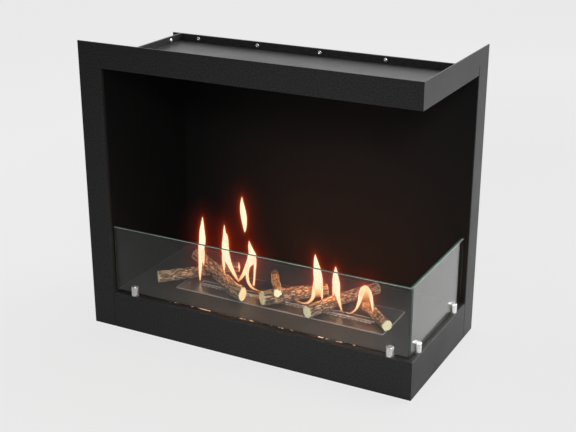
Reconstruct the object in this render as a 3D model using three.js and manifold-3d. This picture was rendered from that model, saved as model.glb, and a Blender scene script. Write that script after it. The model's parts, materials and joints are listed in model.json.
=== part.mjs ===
// A built-in bioethanol fireplace with an open corner, in millimetres.
// The origin is the middle of the footprint, on the floor. +X is the right, +Y the rear, +Z is up.
// The front and the right side are open above a low glass guard, the left and the rear are walls.
import * as THREE from "three";
import { mergeVertices } from "three/addons/utils/BufferGeometryUtils.js";
import Module from "manifold-3d";

const wasm = await Module();
wasm.setup();

// ---------------------------------------------------------------- driving dimensions

// Housing
const WIDTH = 700; // overall, along X
const DEPTH = 330; // overall, along Y
const HEIGHT = 588; // overall, along Z
const SHEET = 2; // thickness of the housing's steel sheet
const STRIP = 50; // width of the facing strips at the left and at the rear right
const BASE_HEIGHT = 76; // top of the hearth floor
const BAND_HEIGHT = 49; // height of the facing bands at the top
const UPSTAND = 15; // rim of the ceiling tray and of the base pan
const WALL_TAB = 20; // how far the rear wall runs past the left wall's inner face
const SEAM = 1; // gap between the base bands and the facing strips
const SLIT = 1.2; // width of the relief slits where a wall bends away from a band
const FRONT_SLIT_RISE = 23;
const SIDE_SLIT_RISE = 18;
const BEND_RADIUS = 2.5; // outer radius of the bends
const FLOOR_FLANGE = 20; // turned-down rim of the hearth floor at the walls
const STIFFENER_LEG = 15;
const STIFFENER_SHEET = 1.5;
const STIFFENER_SETBACK = 4; // from the edge of the burner cut-out

// Screws that hold the ceiling tray to the walls
const SCREW_RADIUS = 2.5;
const SCREW_HEAD_RADIUS = 4.3;
const SCREW_HEAD_HEIGHT = 2.8;
const SCREW_SOCKET_RADIUS = 1.5;
const SCREW_SOCKET_DEPTH = 1.6;
const SCREW_GRIP = 9; // shank length under the head
const SCREW_DROP = 8; // below the top edge of the walls
const REAR_SCREWS = 5;
const LEFT_SCREWS = 2;
const SCREW_INSET = { rear: 44, left: 42 }; // of the end screws, from the ceiling tray's ends
const NUT_WIDTH = 8; // across the flats
const NUT_THICKNESS = 4;

// Glass guard
const GLASS = 5; // pane thickness
const GLASS_HEIGHT = 137;
const GLASS_SETBACK = 9.5; // from the outer face of the base bands
const GLASS_LIFT = 2.5; // gap under the panes
const GLASS_WALL_GAP = 2;
const GLASS_CORNER_GAP = 1.5;
const GLASS_REAR_GAP = 2;
const GLASS_CHAMFER = 0.4;

// Posts that clamp the panes
const CLAMP_RADIUS = 8;
const CLAMP_HEIGHT = 19;
const CLAMP_CHAMFER = 1.5;
const CLAMP_OFFSET = 2.5; // of a post's axis, outwards from the pane's middle plane
const CLAMP_INSET = 47; // of each post, from the corner or wall at its end of the pane
const PAD = 0.5; // liner thickness
const PAD_LENGTH = 10;
const PAD_HEIGHT = 12;
const PAD_CLEARANCE = 0.25;
const STUD_RADIUS = 3;
const STUD_LENGTH = 14;
const STUD_NUT_WIDTH = 10;
const STUD_NUT_THICKNESS = 5;

// Burner
const BURNER_OFFSET = { x: 5, y: -5 }; // of the burner's centre, from the middle of the hearth floor
const PLATE_END_MARGIN = 95; // how much shorter than the hearth floor the plate is, at each end
const DRAWN_PLATE_LENGTH = 460; // the slot's ends and the branches move in or out with another length
const PLATE_WIDTH = 112;
const PLATE = 2; // plate thickness
const PLATE_CORNER = 3;
const PLATE_OVERHANG = 4; // how far the plate laps over the floor around the cut-out
const CUTOUT_CLEARANCE = 1.5;
const SLOT_END_MARGIN = 36; // from the drawn plate's ends
const SLOT_WIDTH = 10;
const SLOT_OFFSET = -10.5; // of the slot's middle, from the burner's centre
const SLOT_CORNER = 1;
const LIP = 1.5; // thickness of the slot's lip
const LIP_RISE = 1.5; // above the plate
const TANK_WALL = 1.5;
const TANK_DEPTH = 58;
const TRAY_WALL = 1.2;
const TRAY_DEPTH = 25;
const TRAY_CLEARANCE = 0.6;
const FIBRE_HEIGHT = 38;
const FIBRE_CLEARANCE = 0.5;
const GRILLE = 1;
const GRILLE_WIDTH = 26;
const GRILLE_PITCH = 14.9;
const GRILLE_HOLE = { length: 10, width: 5 };

// Shutter, which slides forward under the plate to close the slot
const SHUTTER = 1.5;
const SHUTTER_WIDTH = 25;
const SHUTTER_LAP = 3; // over the slot's front edge when shut
const SHUTTER_END_LAP = 8; // past the slot's ends
const SHUTTER_REST_GAP = 2.5; // from the slot's rear edge when open
const SLIDE_GAP = 0.3;
const RAIL = 1.5;
const RAIL_LEDGE = 8;
const RAIL_SPARE = 6; // past the shutter's travel, at both ends
const TAB_OFFSET = -33; // from the burner's centre
const TAB_WIDTH = 8;
const TAB_RISE = 9; // above the plate
const TAB_THICKNESS = 1.5;
const TAB_SETBACK = 4; // from the shutter's rear edge
const TAB_HOLE_RADIUS = 2.2;
const TAB_CLEARANCE = 0.6;

// Fits
const HOLE_CLEARANCE = 0.3; // round a shank or a stud
const REST_GAP = 0.3; // under a loose piece
const CUT = 1; // how far a cutter runs past what it cuts

// Loose ceramic branches: points on the axis in plan, from the burner's centre, each with the rise
// of the underside above `base`. A base is a height above the burner plate. `ends` are the radii at
// the ends, and `seed` varies the bark. A leaning branch is lifted until it clears the one below.
const BRANCHES = {
  log_1: { base: 0, ends: [13, 10.5], seed: 1, path: [[-274, -55, 0], [-217, 8, 0], [-156, 74, 0]] },
  log_2: {
    base: 0,
    ends: [15, 12.6],
    seed: 2,
    leansOn: "log_1",
    path: [
      [-74, -52, 0],
      [-101, -40, 0],
      [-140, -13, 3.5],
      [-173, 4, 12.5],
      [-204, 16, 21.8],
      [-232, 26, 28],
    ],
  },
  log_3: {
    base: -PLATE,
    ends: [8.4, 8.8],
    seed: 3,
    leansOn: "log_4",
    path: [[-78, 88, 0], [-30, 4, 23.6], [1, -48, 36], [15, -72, 36.1]],
  },
  log_4: { base: LIP_RISE, ends: [15.6, 13.2], seed: 4, path: [[-29, -55, 0], [16, -2, 0], [64, 46, 0]] },
  log_5: { base: LIP_RISE, ends: [12.6, 12.8], seed: 9, path: [[75, -64, 0], [108, 23, 0], [150, 100, 0]] },
  log_6: { base: LIP_RISE, ends: [11, 10], seed: 6, path: [[233, -43, 0], [198, -10, 0], [162, 19, 0]] },
};
const BARK_RELIEF = 0.03; // share of the radius
const BRANCH_SIDES = 14;
const BRANCH_RINGS = 16;
const LEAN_SAMPLES = 60; // places along a branch where its gap to the one below is measured
const LEAN_STEPS = 20;
const LEAN_RANGE = [0.4, 2.5]; // least and greatest lift, as a share of the drawn rise

// Number of sides that stand in for a round
const ROD_SIDES = 16;
const SCREW_SIDES = 14;
const DOME_STEPS = 5;
const POST_SIDES = 24;
const BORE_SIDES = 12;
const BEND_STEPS = 4; // in a quarter turn
const CORNER_STEPS = 4;

// ---------------------------------------------------------------- places that follow

const LEFT = -WIDTH / 2;
const RIGHT = WIDTH / 2;
const FRONT = -DEPTH / 2;
const REAR = DEPTH / 2;
const WALL_X = LEFT + STRIP; // inner face of the left wall
const WALL_Y = REAR - STRIP; // inner face of the rear wall
const INSIDE_RIGHT = RIGHT - SHEET; // inner face of the side bands
const INSIDE_FRONT = FRONT + SHEET; // inner face of the front bands
const FLOOR = BASE_HEIGHT;
const CEILING = HEIGHT - BAND_HEIGHT; // underside of the ceiling tray
const WALL_TOP = CEILING + SHEET + UPSTAND;
const SCREW_Z = WALL_TOP - SCREW_DROP;
const BURNER_X = (WALL_X + RIGHT) / 2 + BURNER_OFFSET.x;
const BURNER_Y = (FRONT + WALL_Y) / 2 + BURNER_OFFSET.y;
const PLATE_LENGTH = RIGHT - WALL_X - 2 * PLATE_END_MARGIN;
const CUTOUT_LENGTH = PLATE_LENGTH - 2 * PLATE_OVERHANG;
const CUTOUT_WIDTH = PLATE_WIDTH - 2 * PLATE_OVERHANG;
const GLASS_BOTTOM = FLOOR + GLASS_LIFT;
const CLAMP_SLOT = GLASS + 2 * (PAD + PAD_CLEARANCE);
const CLAMP_SETBACK = GLASS_SETBACK + GLASS / 2 - CLAMP_OFFSET; // axis, from the bands' outer faces
const CLAMP_SLOT_FLOOR = GLASS_LIFT - PAD - PAD_CLEARANCE; // above the hearth floor
const STRETCH = PLATE_LENGTH / DRAWN_PLATE_LENGTH;
const SLOT_LENGTH = PLATE_LENGTH - 2 * STRETCH * SLOT_END_MARGIN;
const SLOT_REAR = SLOT_OFFSET + SLOT_WIDTH / 2;
const SLOT_FRONT = SLOT_OFFSET - SLOT_WIDTH / 2;
const SHUTTER_FRONT = SLOT_REAR + SHUTTER_REST_GAP; // front edge when open
const SHUTTER_TRAVEL = SHUTTER_FRONT - (SLOT_FRONT - SHUTTER_LAP);
const SHUTTER_LENGTH = SLOT_LENGTH + 2 * SHUTTER_END_LAP;
const SHUTTER_TOP = FLOOR - SLIDE_GAP;
const TAB_MIDDLE = SHUTTER_FRONT + SHUTTER_WIDTH - TAB_SETBACK;

// ---------------------------------------------------------------- finishes

function finish(color, roughness, metalness, extra = {}) {
  return () => new THREE.MeshStandardMaterial({ color, roughness, metalness, ...extra });
}
const blackSteel = finish(0x2b2a2a, 0.55, 0.3);
const stainless = finish(0x8a7f78, 0.32, 1);
const chrome = finish(0xe6e6e4, 0.12, 1);
const zinc = finish(0xb9babb, 0.35, 1);
const clearGlass = finish(0xbfd6cc, 0.03, 0, { transparent: true, opacity: 0.3 });
const liner = finish(0x1d1d1d, 0.8, 0);
const ceramicFibre = finish(0xd9d3c6, 0.95, 0);
const bark = finish(0x7a6048, 0.85, 0);

// ---------------------------------------------------------------- solids

// A closed three.js geometry as a solid that can be joined and cut.
function solid(geometry) {
  const bare = geometry.clone();
  bare.deleteAttribute("normal");
  bare.deleteAttribute("uv");
  const merged = mergeVertices(bare, 1e-4);
  const corners = [];
  for (let i = 0; i < merged.index.count; i += 3) {
    const [a, b, c] = [0, 1, 2].map((k) => merged.index.getX(i + k));
    if (a !== b && b !== c && c !== a) corners.push(a, b, c);
  }
  const vertProperties = merged.attributes.position.array;
  return new wasm.Manifold(new wasm.Mesh({ numProp: 3, vertProperties, triVerts: new Uint32Array(corners) }));
}

function geometryOf(body) {
  const mesh = body.getMesh();
  const geometry = new THREE.BufferGeometry();
  geometry.setAttribute("position", new THREE.BufferAttribute(mesh.vertProperties, 3));
  geometry.setIndex(new THREE.BufferAttribute(mesh.triVerts, 1));
  const flat = geometry.toNonIndexed();
  flat.computeVertexNormals();
  return flat;
}

function joined(...bodies) {
  return bodies.reduce((whole, body) => whole.add(body));
}

function cut(body, ...cutters) {
  return cutters.reduce((rest, cutter) => rest.subtract(cutter), body);
}

function block(x0, x1, y0, y1, z0, z1) {
  const box = new THREE.BoxGeometry(x1 - x0, y1 - y0, z1 - z0);
  return solid(box.translate((x0 + x1) / 2, (y0 + y1) / 2, (z0 + z1) / 2));
}

// A shape in the XY plane, raised from z0 to z1.
function raised(shape, z0, z1, curveSegments = CORNER_STEPS) {
  const geometry = new THREE.ExtrudeGeometry(shape, { depth: z1 - z0, bevelEnabled: false, curveSegments });
  return solid(geometry.translate(0, 0, z0));
}

// A round rod along X, Y or Z between two places on that axis.
function rod(axis, radius, from, to, at) {
  const geometry = new THREE.CylinderGeometry(radius, radius, to - from, ROD_SIDES);
  geometry.translate(0, (from + to) / 2, 0);
  if (axis === "x") geometry.rotateZ(-Math.PI / 2);
  if (axis === "z") geometry.rotateX(Math.PI / 2);
  return solid(geometry.translate(at.x ?? 0, at.y ?? 0, at.z ?? 0));
}

// A tray: a floor with walls on its four sides, open at the top.
function openBox(x0, x1, y0, y1, z0, z1, wall) {
  const inside = block(x0 + wall, x1 - wall, y0 + wall, y1 - wall, z0 + wall, z1 + CUT);
  return block(x0, x1, y0, y1, z0, z1).subtract(inside);
}

// What a bend takes off a square outer corner that runs along `along` from `from` to `to`.
// u and v are the two other directions, pointing from the corner into the sheet.
function bendCutter(along, u, v, corner, from, to) {
  const profile = new THREE.Shape();
  profile.moveTo(-CUT, -CUT);
  profile.lineTo(BEND_RADIUS, -CUT);
  profile.lineTo(BEND_RADIUS, 0);
  profile.absarc(BEND_RADIUS, BEND_RADIUS, BEND_RADIUS, -Math.PI / 2, -Math.PI, true);
  profile.lineTo(-CUT, BEND_RADIUS);
  const settings = { depth: to - from, bevelEnabled: false, curveSegments: BEND_STEPS };
  const geometry = new THREE.ExtrudeGeometry(profile, settings);
  const turn = new THREE.Matrix4().makeBasis(u, v, along);
  const place = corner.clone().addScaledVector(along, from);
  geometry.applyMatrix4(turn.setPosition(place));
  const mirrored = new THREE.Vector3().crossVectors(u, v).dot(along) < 0;
  return solid(mirrored ? turnedInsideOut(geometry) : geometry);
}

function turnedInsideOut(geometry) {
  const flipped = geometry.index ? geometry.toNonIndexed() : geometry.clone();
  const position = flipped.attributes.position;
  const first = new THREE.Vector3();
  const second = new THREE.Vector3();
  for (let i = 0; i < position.count; i += 3) {
    first.fromBufferAttribute(position, i + 1);
    second.fromBufferAttribute(position, i + 2);
    position.setXYZ(i + 1, second.x, second.y, second.z);
    position.setXYZ(i + 2, first.x, first.y, first.z);
  }
  return flipped;
}

function rectangle(x0, x1, y0, y1, corner = 0, Kind = THREE.Shape) {
  const outline = new Kind();
  if (corner === 0) {
    outline.moveTo(x0, y0);
    outline.lineTo(x1, y0);
    outline.lineTo(x1, y1);
    outline.lineTo(x0, y1);
    outline.closePath();
    return outline;
  }
  outline.moveTo(x0 + corner, y0);
  outline.lineTo(x1 - corner, y0);
  outline.absarc(x1 - corner, y0 + corner, corner, -Math.PI / 2, 0, false);
  outline.lineTo(x1, y1 - corner);
  outline.absarc(x1 - corner, y1 - corner, corner, 0, Math.PI / 2, false);
  outline.lineTo(x0 + corner, y1);
  outline.absarc(x0 + corner, y1 - corner, corner, Math.PI / 2, Math.PI, false);
  outline.lineTo(x0, y0 + corner);
  outline.absarc(x0 + corner, y0 + corner, corner, Math.PI, 1.5 * Math.PI, false);
  outline.closePath();
  return outline;
}

// ---------------------------------------------------------------- the assembly

const fireplace = new THREE.Group();

function group() {
  const part = new THREE.Group();
  fireplace.add(part);
  return part;
}

function piece(owner, name, body, material) {
  const mesh = new THREE.Mesh(geometryOf(body), material());
  mesh.name = name;
  owner.add(mesh);
  return mesh;
}

const X = new THREE.Vector3(1, 0, 0);
const Y = new THREE.Vector3(0, 1, 0);
const Z = new THREE.Vector3(0, 0, 1);
const toLeft = X.clone().negate();
const down = Z.clone().negate();

// `count` places in equal steps, from the first to the last.
function spread(count, first, last) {
  return Array.from({ length: count }, (_, i) => THREE.MathUtils.lerp(first, last, i / (count - 1)));
}

// Places of the screws along the rear wall (X) and along the left wall (Y).
const rearScrewPlaces = spread(REAR_SCREWS, WALL_X + SCREW_INSET.rear, INSIDE_RIGHT - SCREW_INSET.rear);
const leftScrewPlaces = spread(LEFT_SCREWS, WALL_Y - SCREW_INSET.left, INSIDE_FRONT + SCREW_INSET.left);

function rearScrewHoles(from, to) {
  return rearScrewPlaces.map((x) => rod("y", SCREW_RADIUS + HOLE_CLEARANCE, from, to, { x, z: SCREW_Z }));
}

function leftScrewHoles(from, to) {
  return leftScrewPlaces.map((y) => rod("x", SCREW_RADIUS + HOLE_CLEARANCE, from, to, { y, z: SCREW_Z }));
}

// Left facing strip, top front band and left wall, bent from one sheet.
function leftShell() {
  const strip = block(LEFT, WALL_X, FRONT, INSIDE_FRONT, 0, HEIGHT);
  const band = block(WALL_X - CUT, RIGHT, FRONT, INSIDE_FRONT, CEILING, HEIGHT);
  const wall = block(WALL_X - SHEET, WALL_X, FRONT, WALL_Y, 0, WALL_TOP);
  const slitTop = CEILING + FRONT_SLIT_RISE;
  const slit = block(WALL_X, WALL_X + SLIT, FRONT - CUT, INSIDE_FRONT + CUT, CEILING - CUT, slitTop);
  const corner = new THREE.Vector3(WALL_X, FRONT, 0);
  const bend = bendCutter(Z, toLeft, Y, corner, -CUT, slitTop);
  const holes = leftScrewHoles(WALL_X - SHEET - CUT, WALL_X + CUT);
  return cut(joined(strip, band, wall), slit, bend, ...holes);
}

// Rear wall, rear right facing strip and top side band, bent from one sheet.
function rearShell() {
  const wall = block(WALL_X - WALL_TAB, RIGHT, WALL_Y, WALL_Y + SHEET, 0, WALL_TOP);
  const strip = block(INSIDE_RIGHT, RIGHT, WALL_Y, REAR, 0, HEIGHT);
  const band = block(INSIDE_RIGHT, RIGHT, INSIDE_FRONT, WALL_Y + CUT, CEILING, HEIGHT);
  const slitTop = CEILING + SIDE_SLIT_RISE;
  const slit = block(INSIDE_RIGHT - CUT, RIGHT + CUT, WALL_Y - SLIT, WALL_Y, CEILING - CUT, slitTop);
  const corner = new THREE.Vector3(RIGHT, WALL_Y, 0);
  const bend = bendCutter(Z, toLeft, Y, corner, -CUT, slitTop);
  const holes = rearScrewHoles(WALL_Y - CUT, WALL_Y + SHEET + CUT);
  return cut(joined(wall, strip, band), slit, bend, ...holes);
}

function ceilingTray() {
  const tray = openBox(WALL_X, INSIDE_RIGHT, INSIDE_FRONT, WALL_Y, CEILING, WALL_TOP, SHEET);
  const rearHoles = rearScrewHoles(WALL_Y - SHEET - CUT, WALL_Y + CUT);
  const leftHoles = leftScrewHoles(WALL_X - CUT, WALL_X + SHEET + CUT);
  return cut(tray, ...rearHoles, ...leftHoles);
}

function basePan() {
  return openBox(WALL_X, INSIDE_RIGHT, INSIDE_FRONT, WALL_Y, 0, SHEET + UPSTAND, SHEET);
}

// Floor plate with the base bands bent down at the front and at the side,
// and rims bent down at the walls.
function hearthFloor() {
  const top = FLOOR;
  const under = FLOOR - SHEET;
  const rim = FLOOR - FLOOR_FLANGE;
  const plate = block(WALL_X, RIGHT, FRONT, WALL_Y, under, top);
  const frontBand = block(WALL_X, RIGHT, FRONT, INSIDE_FRONT, 0, top);
  const sideBand = block(INSIDE_RIGHT, RIGHT, FRONT, WALL_Y, 0, top);
  const rearRim = block(WALL_X, INSIDE_RIGHT - SEAM, WALL_Y - SHEET, WALL_Y, rim, top);
  const leftRim = block(WALL_X, WALL_X + SHEET, INSIDE_FRONT + SEAM, WALL_Y, rim, top);
  const frontSeam = block(WALL_X - CUT, WALL_X + SEAM, FRONT - CUT, INSIDE_FRONT, -CUT, top + CUT);
  const sideSeam = block(INSIDE_RIGHT, RIGHT + CUT, WALL_Y - SEAM, WALL_Y + CUT, -CUT, top + CUT);
  const frontBend = bendCutter(X, Y, down, new THREE.Vector3(0, FRONT, top), WALL_X - CUT, RIGHT + CUT);
  const sideBend = bendCutter(Y, toLeft, down, new THREE.Vector3(RIGHT, 0, top), FRONT - CUT, WALL_Y + CUT);
  const cutout = block(
    BURNER_X - CUTOUT_LENGTH / 2,
    BURNER_X + CUTOUT_LENGTH / 2,
    BURNER_Y - CUTOUT_WIDTH / 2,
    BURNER_Y + CUTOUT_WIDTH / 2,
    under - CUT,
    top + CUT,
  );
  const studHoles = clampPlaces.map(({ x, y }) =>
    rod("z", STUD_RADIUS + HOLE_CLEARANCE, under - CUT, top + CUT, { x, y }),
  );
  const sheet = joined(plate, frontBand, sideBand, rearRim, leftRim);
  return cut(sheet, frontSeam, sideSeam, frontBend, sideBend, cutout, ...studHoles);
}

// An angle under the floor, beside the burner cut-out. `side` is -1 at the front, 1 at the rear.
function floorStiffener(side) {
  const start = BURNER_Y + side * (CUTOUT_WIDTH / 2 + STIFFENER_SETBACK);
  const under = FLOOR - SHEET;
  const leg = (width, height) => {
    const [front, rear] = [start, start + side * width].sort((p, q) => p - q);
    return block(WALL_X + SHEET, INSIDE_RIGHT, front, rear, under - height, under);
  };
  return joined(leg(STIFFENER_LEG, STIFFENER_SHEET), leg(STIFFENER_SHEET, STIFFENER_LEG));
}

// A screw with a domed head and a round socket, seated at z = 0 with its shank downwards.
function domedScrew() {
  const dome = new THREE.EllipseCurve(0, 0, SCREW_HEAD_RADIUS, SCREW_HEAD_HEIGHT, 0, Math.PI / 2);
  const arc = dome.getPoints(DOME_STEPS).filter((point) => point.x > SCREW_SOCKET_RADIUS);
  const profile = [
    new THREE.Vector2(0, -SCREW_GRIP),
    new THREE.Vector2(SCREW_RADIUS, -SCREW_GRIP),
    new THREE.Vector2(SCREW_RADIUS, 0),
    ...arc,
    new THREE.Vector2(SCREW_SOCKET_RADIUS, SCREW_HEAD_HEIGHT),
    new THREE.Vector2(SCREW_SOCKET_RADIUS, SCREW_HEAD_HEIGHT - SCREW_SOCKET_DEPTH),
    new THREE.Vector2(0, SCREW_HEAD_HEIGHT - SCREW_SOCKET_DEPTH),
  ];
  return solid(new THREE.LatheGeometry(profile, SCREW_SIDES).rotateX(Math.PI / 2));
}

// A hexagon nut that stands on z = 0 round a shank on the Z axis.
function hexNut(acrossFlats, thickness, shankRadius) {
  const outline = new THREE.Shape();
  const cornerRadius = acrossFlats / Math.sqrt(3);
  for (let i = 0; i < 6; i += 1) {
    const angle = (i * Math.PI) / 3;
    const [x, y] = [cornerRadius * Math.cos(angle), cornerRadius * Math.sin(angle)];
    if (i === 0) outline.moveTo(x, y);
    else outline.lineTo(x, y);
  }
  outline.closePath();
  const bore = new THREE.Path();
  bore.absarc(0, 0, shankRadius + HOLE_CLEARANCE, 0, 2 * Math.PI, true);
  outline.holes.push(bore);
  return raised(outline, 0, thickness, BORE_SIDES);
}

function ceilingFasteners(owner) {
  const ceilingNut = () => hexNut(NUT_WIDTH, NUT_THICKNESS, SCREW_RADIUS);
  rearScrewPlaces.forEach((x, i) => {
    const screw = piece(owner, `ceiling_screw_rear_${i + 1}`, domedScrew(), zinc);
    screw.position.set(x, WALL_Y - SHEET, SCREW_Z);
    screw.rotation.x = Math.PI / 2;
    const nut = piece(owner, `ceiling_nut_rear_${i + 1}`, ceilingNut(), zinc);
    nut.position.set(x, WALL_Y + SHEET, SCREW_Z);
    nut.rotation.x = -Math.PI / 2;
  });
  leftScrewPlaces.forEach((y, i) => {
    const screw = piece(owner, `ceiling_screw_left_${i + 1}`, domedScrew(), zinc);
    screw.position.set(WALL_X + SHEET, y, SCREW_Z);
    screw.rotation.y = Math.PI / 2;
    const nut = piece(owner, `ceiling_nut_left_${i + 1}`, ceilingNut(), zinc);
    nut.position.set(WALL_X - SHEET, y, SCREW_Z);
    nut.rotation.y = -Math.PI / 2;
  });
}

// ---------------------------------------------------------------- glass guard

// Each post: its place, and which way its slot faces. `turn` brings the front posts' slot to the pane.
const clampPlaces = [
  { name: "front_left", x: WALL_X + CLAMP_INSET, y: FRONT + CLAMP_SETBACK, turn: 0 },
  { name: "front_right", x: RIGHT - CLAMP_INSET, y: FRONT + CLAMP_SETBACK, turn: 0 },
  { name: "side_front", x: RIGHT - CLAMP_SETBACK, y: FRONT + CLAMP_INSET, turn: Math.PI / 2 },
  { name: "side_rear", x: RIGHT - CLAMP_SETBACK, y: WALL_Y - CLAMP_INSET, turn: Math.PI / 2 },
];

// A pane that stands on z = 0 with its length along X and its middle plane at y = 0.
function pane(length) {
  const inset = GLASS_CHAMFER;
  const face = rectangle(inset, length - inset, inset, GLASS_HEIGHT - inset);
  const geometry = new THREE.ExtrudeGeometry(face, {
    depth: GLASS - 2 * GLASS_CHAMFER,
    bevelThickness: GLASS_CHAMFER,
    bevelSize: GLASS_CHAMFER,
    bevelSegments: 1,
  });
  geometry.translate(0, 0, GLASS_CHAMFER - GLASS / 2);
  return solid(geometry.rotateX(Math.PI / 2));
}

// A slotted post on a threaded stud. z = 0 is the hearth floor, and the slot runs along X.
function glassClamp() {
  const profile = [
    new THREE.Vector2(0, -STUD_LENGTH),
    new THREE.Vector2(STUD_RADIUS, -STUD_LENGTH),
    new THREE.Vector2(STUD_RADIUS, 0),
    new THREE.Vector2(CLAMP_RADIUS, 0),
    new THREE.Vector2(CLAMP_RADIUS, CLAMP_HEIGHT - CLAMP_CHAMFER),
    new THREE.Vector2(CLAMP_RADIUS - CLAMP_CHAMFER, CLAMP_HEIGHT),
    new THREE.Vector2(0, CLAMP_HEIGHT),
  ];
  const post = solid(new THREE.LatheGeometry(profile, POST_SIDES).rotateX(Math.PI / 2));
  const slot = block(
    -CLAMP_RADIUS - CUT,
    CLAMP_RADIUS + CUT,
    CLAMP_OFFSET - CLAMP_SLOT / 2,
    CLAMP_OFFSET + CLAMP_SLOT / 2,
    CLAMP_SLOT_FLOOR,
    CLAMP_HEIGHT + CUT,
  );
  return post.subtract(slot);
}

// The soft liner in a post's slot, in the post's own frame.
function clampPad() {
  const outer = CLAMP_SLOT / 2;
  const inner = outer - PAD;
  const low = CLAMP_SLOT_FLOOR;
  const middle = CLAMP_OFFSET;
  const half = PAD_LENGTH / 2;
  const top = low + PAD_HEIGHT;
  const whole = block(-half, half, middle - outer, middle + outer, low, top);
  const room = block(-half - CUT, half + CUT, middle - inner, middle + inner, low + PAD, top + CUT);
  return whole.subtract(room);
}

function glassGuard(owner) {
  const frontLeft = WALL_X + GLASS_WALL_GAP;
  const frontRight = RIGHT - GLASS_SETBACK;
  const frontPlane = FRONT + GLASS_SETBACK + GLASS / 2;
  const front = piece(owner, "front_glass", pane(frontRight - frontLeft), clearGlass);
  front.position.set(frontLeft, frontPlane, GLASS_BOTTOM);
  const sideFront = frontPlane + GLASS / 2 + GLASS_CORNER_GAP;
  const sideRear = WALL_Y - GLASS_REAR_GAP;
  const side = piece(owner, "side_glass", pane(sideRear - sideFront), clearGlass);
  side.position.set(RIGHT - GLASS_SETBACK - GLASS / 2, sideFront, GLASS_BOTTOM);
  side.rotation.z = Math.PI / 2;
  for (const { name, x, y, turn } of clampPlaces) {
    const clamp = piece(owner, `glass_clamp_${name}`, glassClamp(), chrome);
    const pad = piece(owner, `clamp_pad_${name}`, clampPad(), liner);
    for (const part of [clamp, pad]) {
      part.position.set(x, y, FLOOR);
      part.rotation.z = turn;
    }
    const nutBody = hexNut(STUD_NUT_WIDTH, STUD_NUT_THICKNESS, STUD_RADIUS);
    const nut = piece(owner, `clamp_nut_${name}`, nutBody, zinc);
    nut.position.set(x, y, FLOOR - SHEET - STUD_NUT_THICKNESS);
  }
}

// ---------------------------------------------------------------- burner

// In the burner's own frame: x = 0 and y = 0 are its centre, z = 0 is the hearth floor.
const slotX = [-SLOT_LENGTH / 2, SLOT_LENGTH / 2];

// The slot's outline, grown by `by` on each side.
function slotOutline(by, Kind) {
  return rectangle(slotX[0] - by, slotX[1] + by, SLOT_FRONT - by, SLOT_REAR + by, SLOT_CORNER + by, Kind);
}

function burnerPlate() {
  const half = [PLATE_LENGTH / 2, PLATE_WIDTH / 2];
  const outline = rectangle(-half[0], half[0], -half[1], half[1], PLATE_CORNER);
  outline.holes.push(slotOutline(LIP / 2, THREE.Path));
  const side = TAB_WIDTH / 2 + TAB_CLEARANCE;
  const front = TAB_MIDDLE - SHUTTER_TRAVEL - TAB_THICKNESS / 2 - TAB_CLEARANCE;
  const back = TAB_MIDDLE + TAB_THICKNESS / 2 + TAB_CLEARANCE;
  outline.holes.push(rectangle(TAB_OFFSET - side, TAB_OFFSET + side, front, back, 0, THREE.Path));
  const lip = slotOutline(LIP, THREE.Shape);
  lip.holes.push(slotOutline(0, THREE.Path));
  return joined(raised(outline, 0, PLATE), raised(lip, 0, PLATE + LIP_RISE));
}

// Size of the trough under the plate, at its outer faces, when it is `inset` inside the cut-out.
function trough(inset) {
  return { x: CUTOUT_LENGTH / 2 - inset, y: CUTOUT_WIDTH / 2 - inset };
}
const spillTray = trough(CUTOUT_CLEARANCE);
const tank = trough(CUTOUT_CLEARANCE + TRAY_WALL + TRAY_CLEARANCE);
const tankFloor = -TANK_DEPTH + TANK_WALL;
const fibreTop = tankFloor + FIBRE_HEIGHT;

function fuelTank() {
  return openBox(-tank.x, tank.x, -tank.y, tank.y, -TANK_DEPTH, 0, TANK_WALL);
}

function spillTrayBody() {
  const low = -TANK_DEPTH - TRAY_WALL;
  return openBox(-spillTray.x, spillTray.x, -spillTray.y, spillTray.y, low, low + TRAY_DEPTH, TRAY_WALL);
}

function fibreBlock() {
  const x = tank.x - TANK_WALL - FIBRE_CLEARANCE;
  const y = tank.y - TANK_WALL - FIBRE_CLEARANCE;
  return block(-x, x, -y, y, tankFloor, fibreTop);
}

function flameGrille() {
  const strip = (x0, x1, width, low, high) =>
    block(x0, x1, SLOT_OFFSET - width / 2, SLOT_OFFSET + width / 2, low, high);
  const { length, width } = GRILLE_HOLE;
  const count = Math.floor(SLOT_LENGTH / GRILLE_PITCH);
  const reach = ((count - 1) * GRILLE_PITCH) / 2;
  const top = fibreTop + GRILLE;
  const holes = spread(count, -reach, reach).map((x) =>
    strip(x - length / 2, x + length / 2, width, fibreTop - CUT, top + CUT),
  );
  return cut(strip(slotX[0], slotX[1], GRILLE_WIDTH, fibreTop, top), ...holes);
}

function shutterPlate() {
  const x = SHUTTER_LENGTH / 2;
  const top = SHUTTER_TOP - FLOOR;
  return block(-x, x, SHUTTER_FRONT, SHUTTER_FRONT + SHUTTER_WIDTH, top - SHUTTER, top);
}

// The tab stands on the shutter and has a hole for the poker's hook.
function shutterTab() {
  const low = SHUTTER_TOP - FLOOR;
  const high = PLATE + TAB_RISE;
  const half = TAB_WIDTH / 2;
  const face = rectangle(-half, half, low, high);
  const eye = new THREE.Path();
  eye.absarc(0, high - half, TAB_HOLE_RADIUS, 0, 2 * Math.PI, true);
  face.holes.push(eye);
  const settings = { depth: TAB_THICKNESS, bevelEnabled: false, curveSegments: BORE_SIDES };
  const geometry = new THREE.ExtrudeGeometry(face, settings);
  geometry.translate(0, 0, -TAB_THICKNESS / 2).rotateX(Math.PI / 2);
  return solid(geometry.translate(TAB_OFFSET, TAB_MIDDLE, 0));
}

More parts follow.
